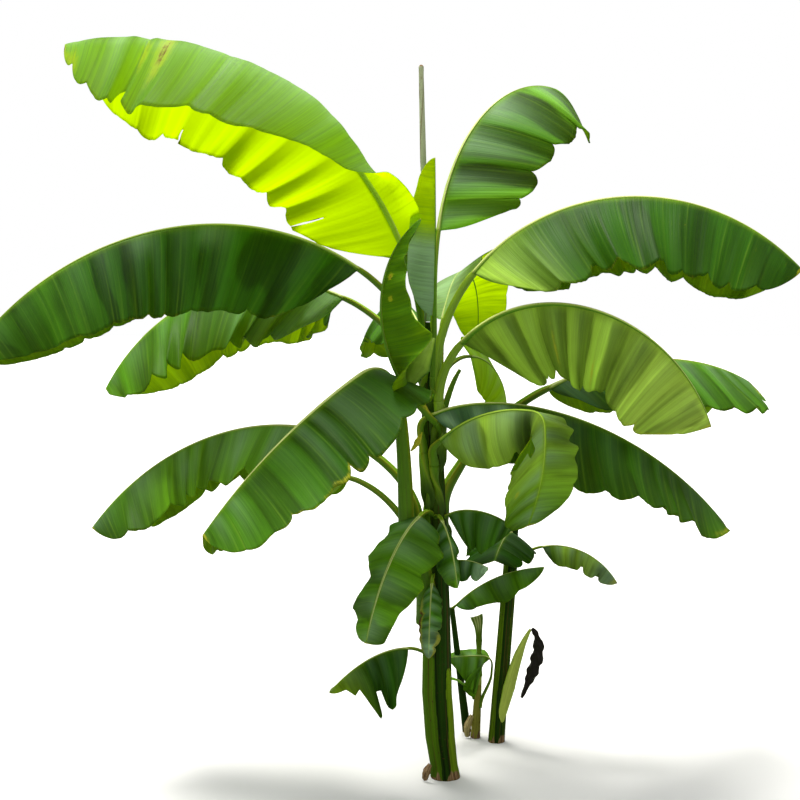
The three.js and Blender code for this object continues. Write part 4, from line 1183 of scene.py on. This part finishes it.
# Dried and withered pieces. bow: how far a strip is cupped. crumple: size of its folds.
strips = [
    dict(name="withered_stalk", path=[(212, 280, 70), (246, 262, 215), (278, 258, 335), (322, 254, 438)],
         half=(14, 22, 17, 5), thick=(8, 10, 8, 5), face=270, tint="gold", edge="lime", dry=0.0,
         bow=0.25, crumple=0.4, slot="stalk"),
    dict(name="withered_leaf", path=[(326, 252, 442), (350, 248, 375), (332, 246, 290), (290, 244, 185)],
         half=(7, 20, 22, 6), thick=(4, 6, 6, 4), face=250, tint="char", edge="char", dry=0.0, bow=0.5,
         crumple=5.0, slot="withered"),
    dict(name="dry_sheath_front", path=[(-72, -46, 5), (-66, -52, 34), (-52, -54, 62)], half=(10, 15, 7),
         thick=(4, 4, 3), face=240, tint="tan", edge="rust", dry=0.5, bow=0.5, crumple=1.5, slot="dry"),
    dict(name="dry_sheath_side", path=[(100, 326, 6), (98, 318, 47), (116, 322, 88)], half=(10, 14, 9),
         thick=(4, 4, 3), face=270, tint="straw", edge="tan", dry=0.4, bow=0.5, crumple=1.5, slot="dry"),
    dict(name="dry_stub", path=[(-8, -14, 1262), (18, -12, 1345), (46, -10, 1402)], half=(12, 10, 6),
         thick=(9, 8, 5), face=290, tint="stalk", edge="yellow", dry=0.1, bow=0.4, crumple=0.8,
         slot="stalk"),
    dict(name="sucker_roll", path=[(142, 330, 236), (140, 330, 330), (138, 326, 410), (128, 318, 470)],
         half=(12, 10, 14, 26), thick=(12, 11, 10, 6), face=270, tint="strap", edge="waxAndSheen", dry=0.0,
         bow=0.3, crumple=1.6, slot="young_leaf", topTint="cream", footTint="leek"),
    dict(name="torn_edge", path=[(-102, -62, 1337), (-80, -70, 1292), (-50, -74, 1245)], free=True,
         half=(2, 9, 5), thick=(2, 3, 3), face=270, tint="yellow", edge="rust", dry=0.1, bow=0.4,
         crumple=1.6, slot="dry"),
    dict(name="folded_lobe", path=[(-47, -172, 1511), (-98, -196, 1429), (-155, -196, 1322)], free=True,
         half=(6, 42, 9), thick=(3, 3, 3), face=250, tint="pale", edge="mid", dry=0.0, bow=0.5,
         crumple=1.2, slot="leaf"),
    dict(name="torn_foot", path=[(-84, -66, 1200), (-98, -68, 1165), (-119, -64, 1136)], free=True,
         half=(3, 11, 3), thick=(3, 3, 2), face=270, tint="yellow", edge="gold", dry=0.1, bow=0.4,
         crumple=2.0, slot="dry"),
]
stripRule = {"rings": 70, "sides": 28, "seed": 200, "seedStep": 7, "clearance": 0.8}


def makeStrip(strip, seed):
    knots = np.array(strip["path"], float) * mm
    rings, sides = stripRule["rings"], stripRule["sides"]
    k = np.linspace(0, 1, rings)
    places = np.linspace(0, 1, len(knots))
    # a smooth line through the knots: a fitted polynomial of the lowest order that passes them all
    line = np.stack([np.polyval(np.polyfit(places, knots[:, i], len(knots) - 1), k) for i in range(3)], -1)
    half = np.interp(k, places, strip["half"]) * mm
    thick = np.interp(k, places, strip["thick"]) * mm / 2
    facing = np.array([math.cos(math.radians(strip["face"])), math.sin(math.radians(strip["face"])), 0.0])
    along = unit(np.gradient(line, axis=0))
    wide = unit(np.cross(along, facing))
    out = unit(np.cross(wide, along))
    x, y = circle(sides)
    cup = strip["bow"] * half[:, None] * (0.5 - x ** 2)
    fold = strip["crumple"] * mm * (lineNoise(k / 0.09, seed)[:, None] * np.cos(3 * x + 2)
                                    + 0.6 * lineNoise(k / 0.04, seed + 1)[:, None] * np.sin(5 * x))
    edge = half[:, None] * (1 + 0.04 * strip["crumple"] * lineNoise(k / 0.05, seed + 2)[:, None])
    points = placed(line, wide, out, x * edge, y * thick[:, None] * 0.8 + cup + fold)
    points[..., 2] = np.maximum(points[..., 2], stripRule["clearance"] * mm)
    rim = smooth(np.abs(x), 0.8, 1.0) * np.ones((rings, 1))
    body = tone(strip["tint"]) * np.ones((rings, sides, 1))
    body = mix(body, tone(strip.get("footTint", strip["tint"])), smooth(0.5 - k, 0, 0.3)[:, None, None])
    body = mix(body, tone(strip.get("topTint", strip["tint"])),
               (smooth(k, 0.6, 0.8)[:, None] * (0.5 + 0.5 * np.sign(np.cos(x * 14))))[..., None])
    colour = mix(body, tone(strip["edge"]), rim[..., None])
    dry = np.full(rings * sides, strip["dry"])
    made = sweepObject(strip["name"] + "_piece", points, k * 0.3 + seed, 0.06, colour.reshape(-1, 3), dry)
    if not strip.get("free"):
        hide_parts(strip["name"])
    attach(made, "root")


for number, strip in enumerate(strips):
    makeStrip(strip, stripRule["seed"] + stripRule["seedStep"] * number)
print("dry pieces made")


# Floor, light and world
floorLook = {"low": (0.80, 0.80, 0.78), "high": (0.84, 0.84, 0.82), "bounce": (0.22, 0.26, 0.18),
             "roughness": 0.9, "size": 60.0}
floorMesh = bpy.data.meshes.new("floor")
reach = floorLook["size"]
floorMesh.from_pydata([(-reach, -reach, 0), (reach, -reach, 0), (reach, reach, 0), (-reach, reach, 0)], [],
                      [(0, 1, 2, 3)])
floorMesh.materials.append(floorFinish("floor", floorLook))
floor = bpy.data.objects.new("floor", floorMesh)
bpy.context.collection.objects.link(floor)

# Lamps: toward is the direction from the plant to the lamp, spread its width in degrees
lamps = {
    "high": {"toward": (-0.35, 0.25, 1.7), "strength": 4.8, "spread": 26, "colour": (1.0, 0.98, 0.93)},
    "front": {"toward": (-0.9, -1.0, 1.5), "strength": 0.55, "spread": 60, "colour": (0.97, 0.99, 1.0)},
}
for name, lamp in lamps.items():
    data = bpy.data.lights.new(name, "SUN")
    data.angle = math.radians(lamp["spread"])
    data.energy = lamp["strength"]
    data.color = lamp["colour"]
    light = bpy.data.objects.new(name, data)
    light.rotation_euler = Vector(lamp["toward"]).to_track_quat("Z", "Y").to_euler()
    bpy.context.collection.objects.link(light)

# Soft sky: brighter overhead, white behind the plant
skyLook = {"seen": (1.0, 1.0, 1.0), "overhead": 0.8, "level": 0.15}
world = bpy.data.worlds.new("world")
sky = Finish(world)
skyward = sky.node("ShaderNodeTexCoord", output="Generated")
height = sky.node("ShaderNodeSeparateXYZ", values={0: skyward}, output=2)
strength = skyLook["level"] + (skyLook["overhead"] - skyLook["level"]) * height.step(0.0, 0.8)
soft = sky.node("ShaderNodeBackground", values={"Color": (*skyLook["seen"], 1.0), "Strength": strength})
plain = sky.node("ShaderNodeBackground", values={"Color": (*skyLook["seen"], 1.0), "Strength": 1.0})
straight = sky.node("ShaderNodeLightPath", output="Is Camera Ray")
sky.node("ShaderNodeOutputWorld", values={
    "Surface": sky.node("ShaderNodeMixShader", values={0: straight, 1: soft, 2: plain})})
bpy.context.scene.world = world
bpy.context.scene.view_settings.view_transform = "Standard"
print("stage made")
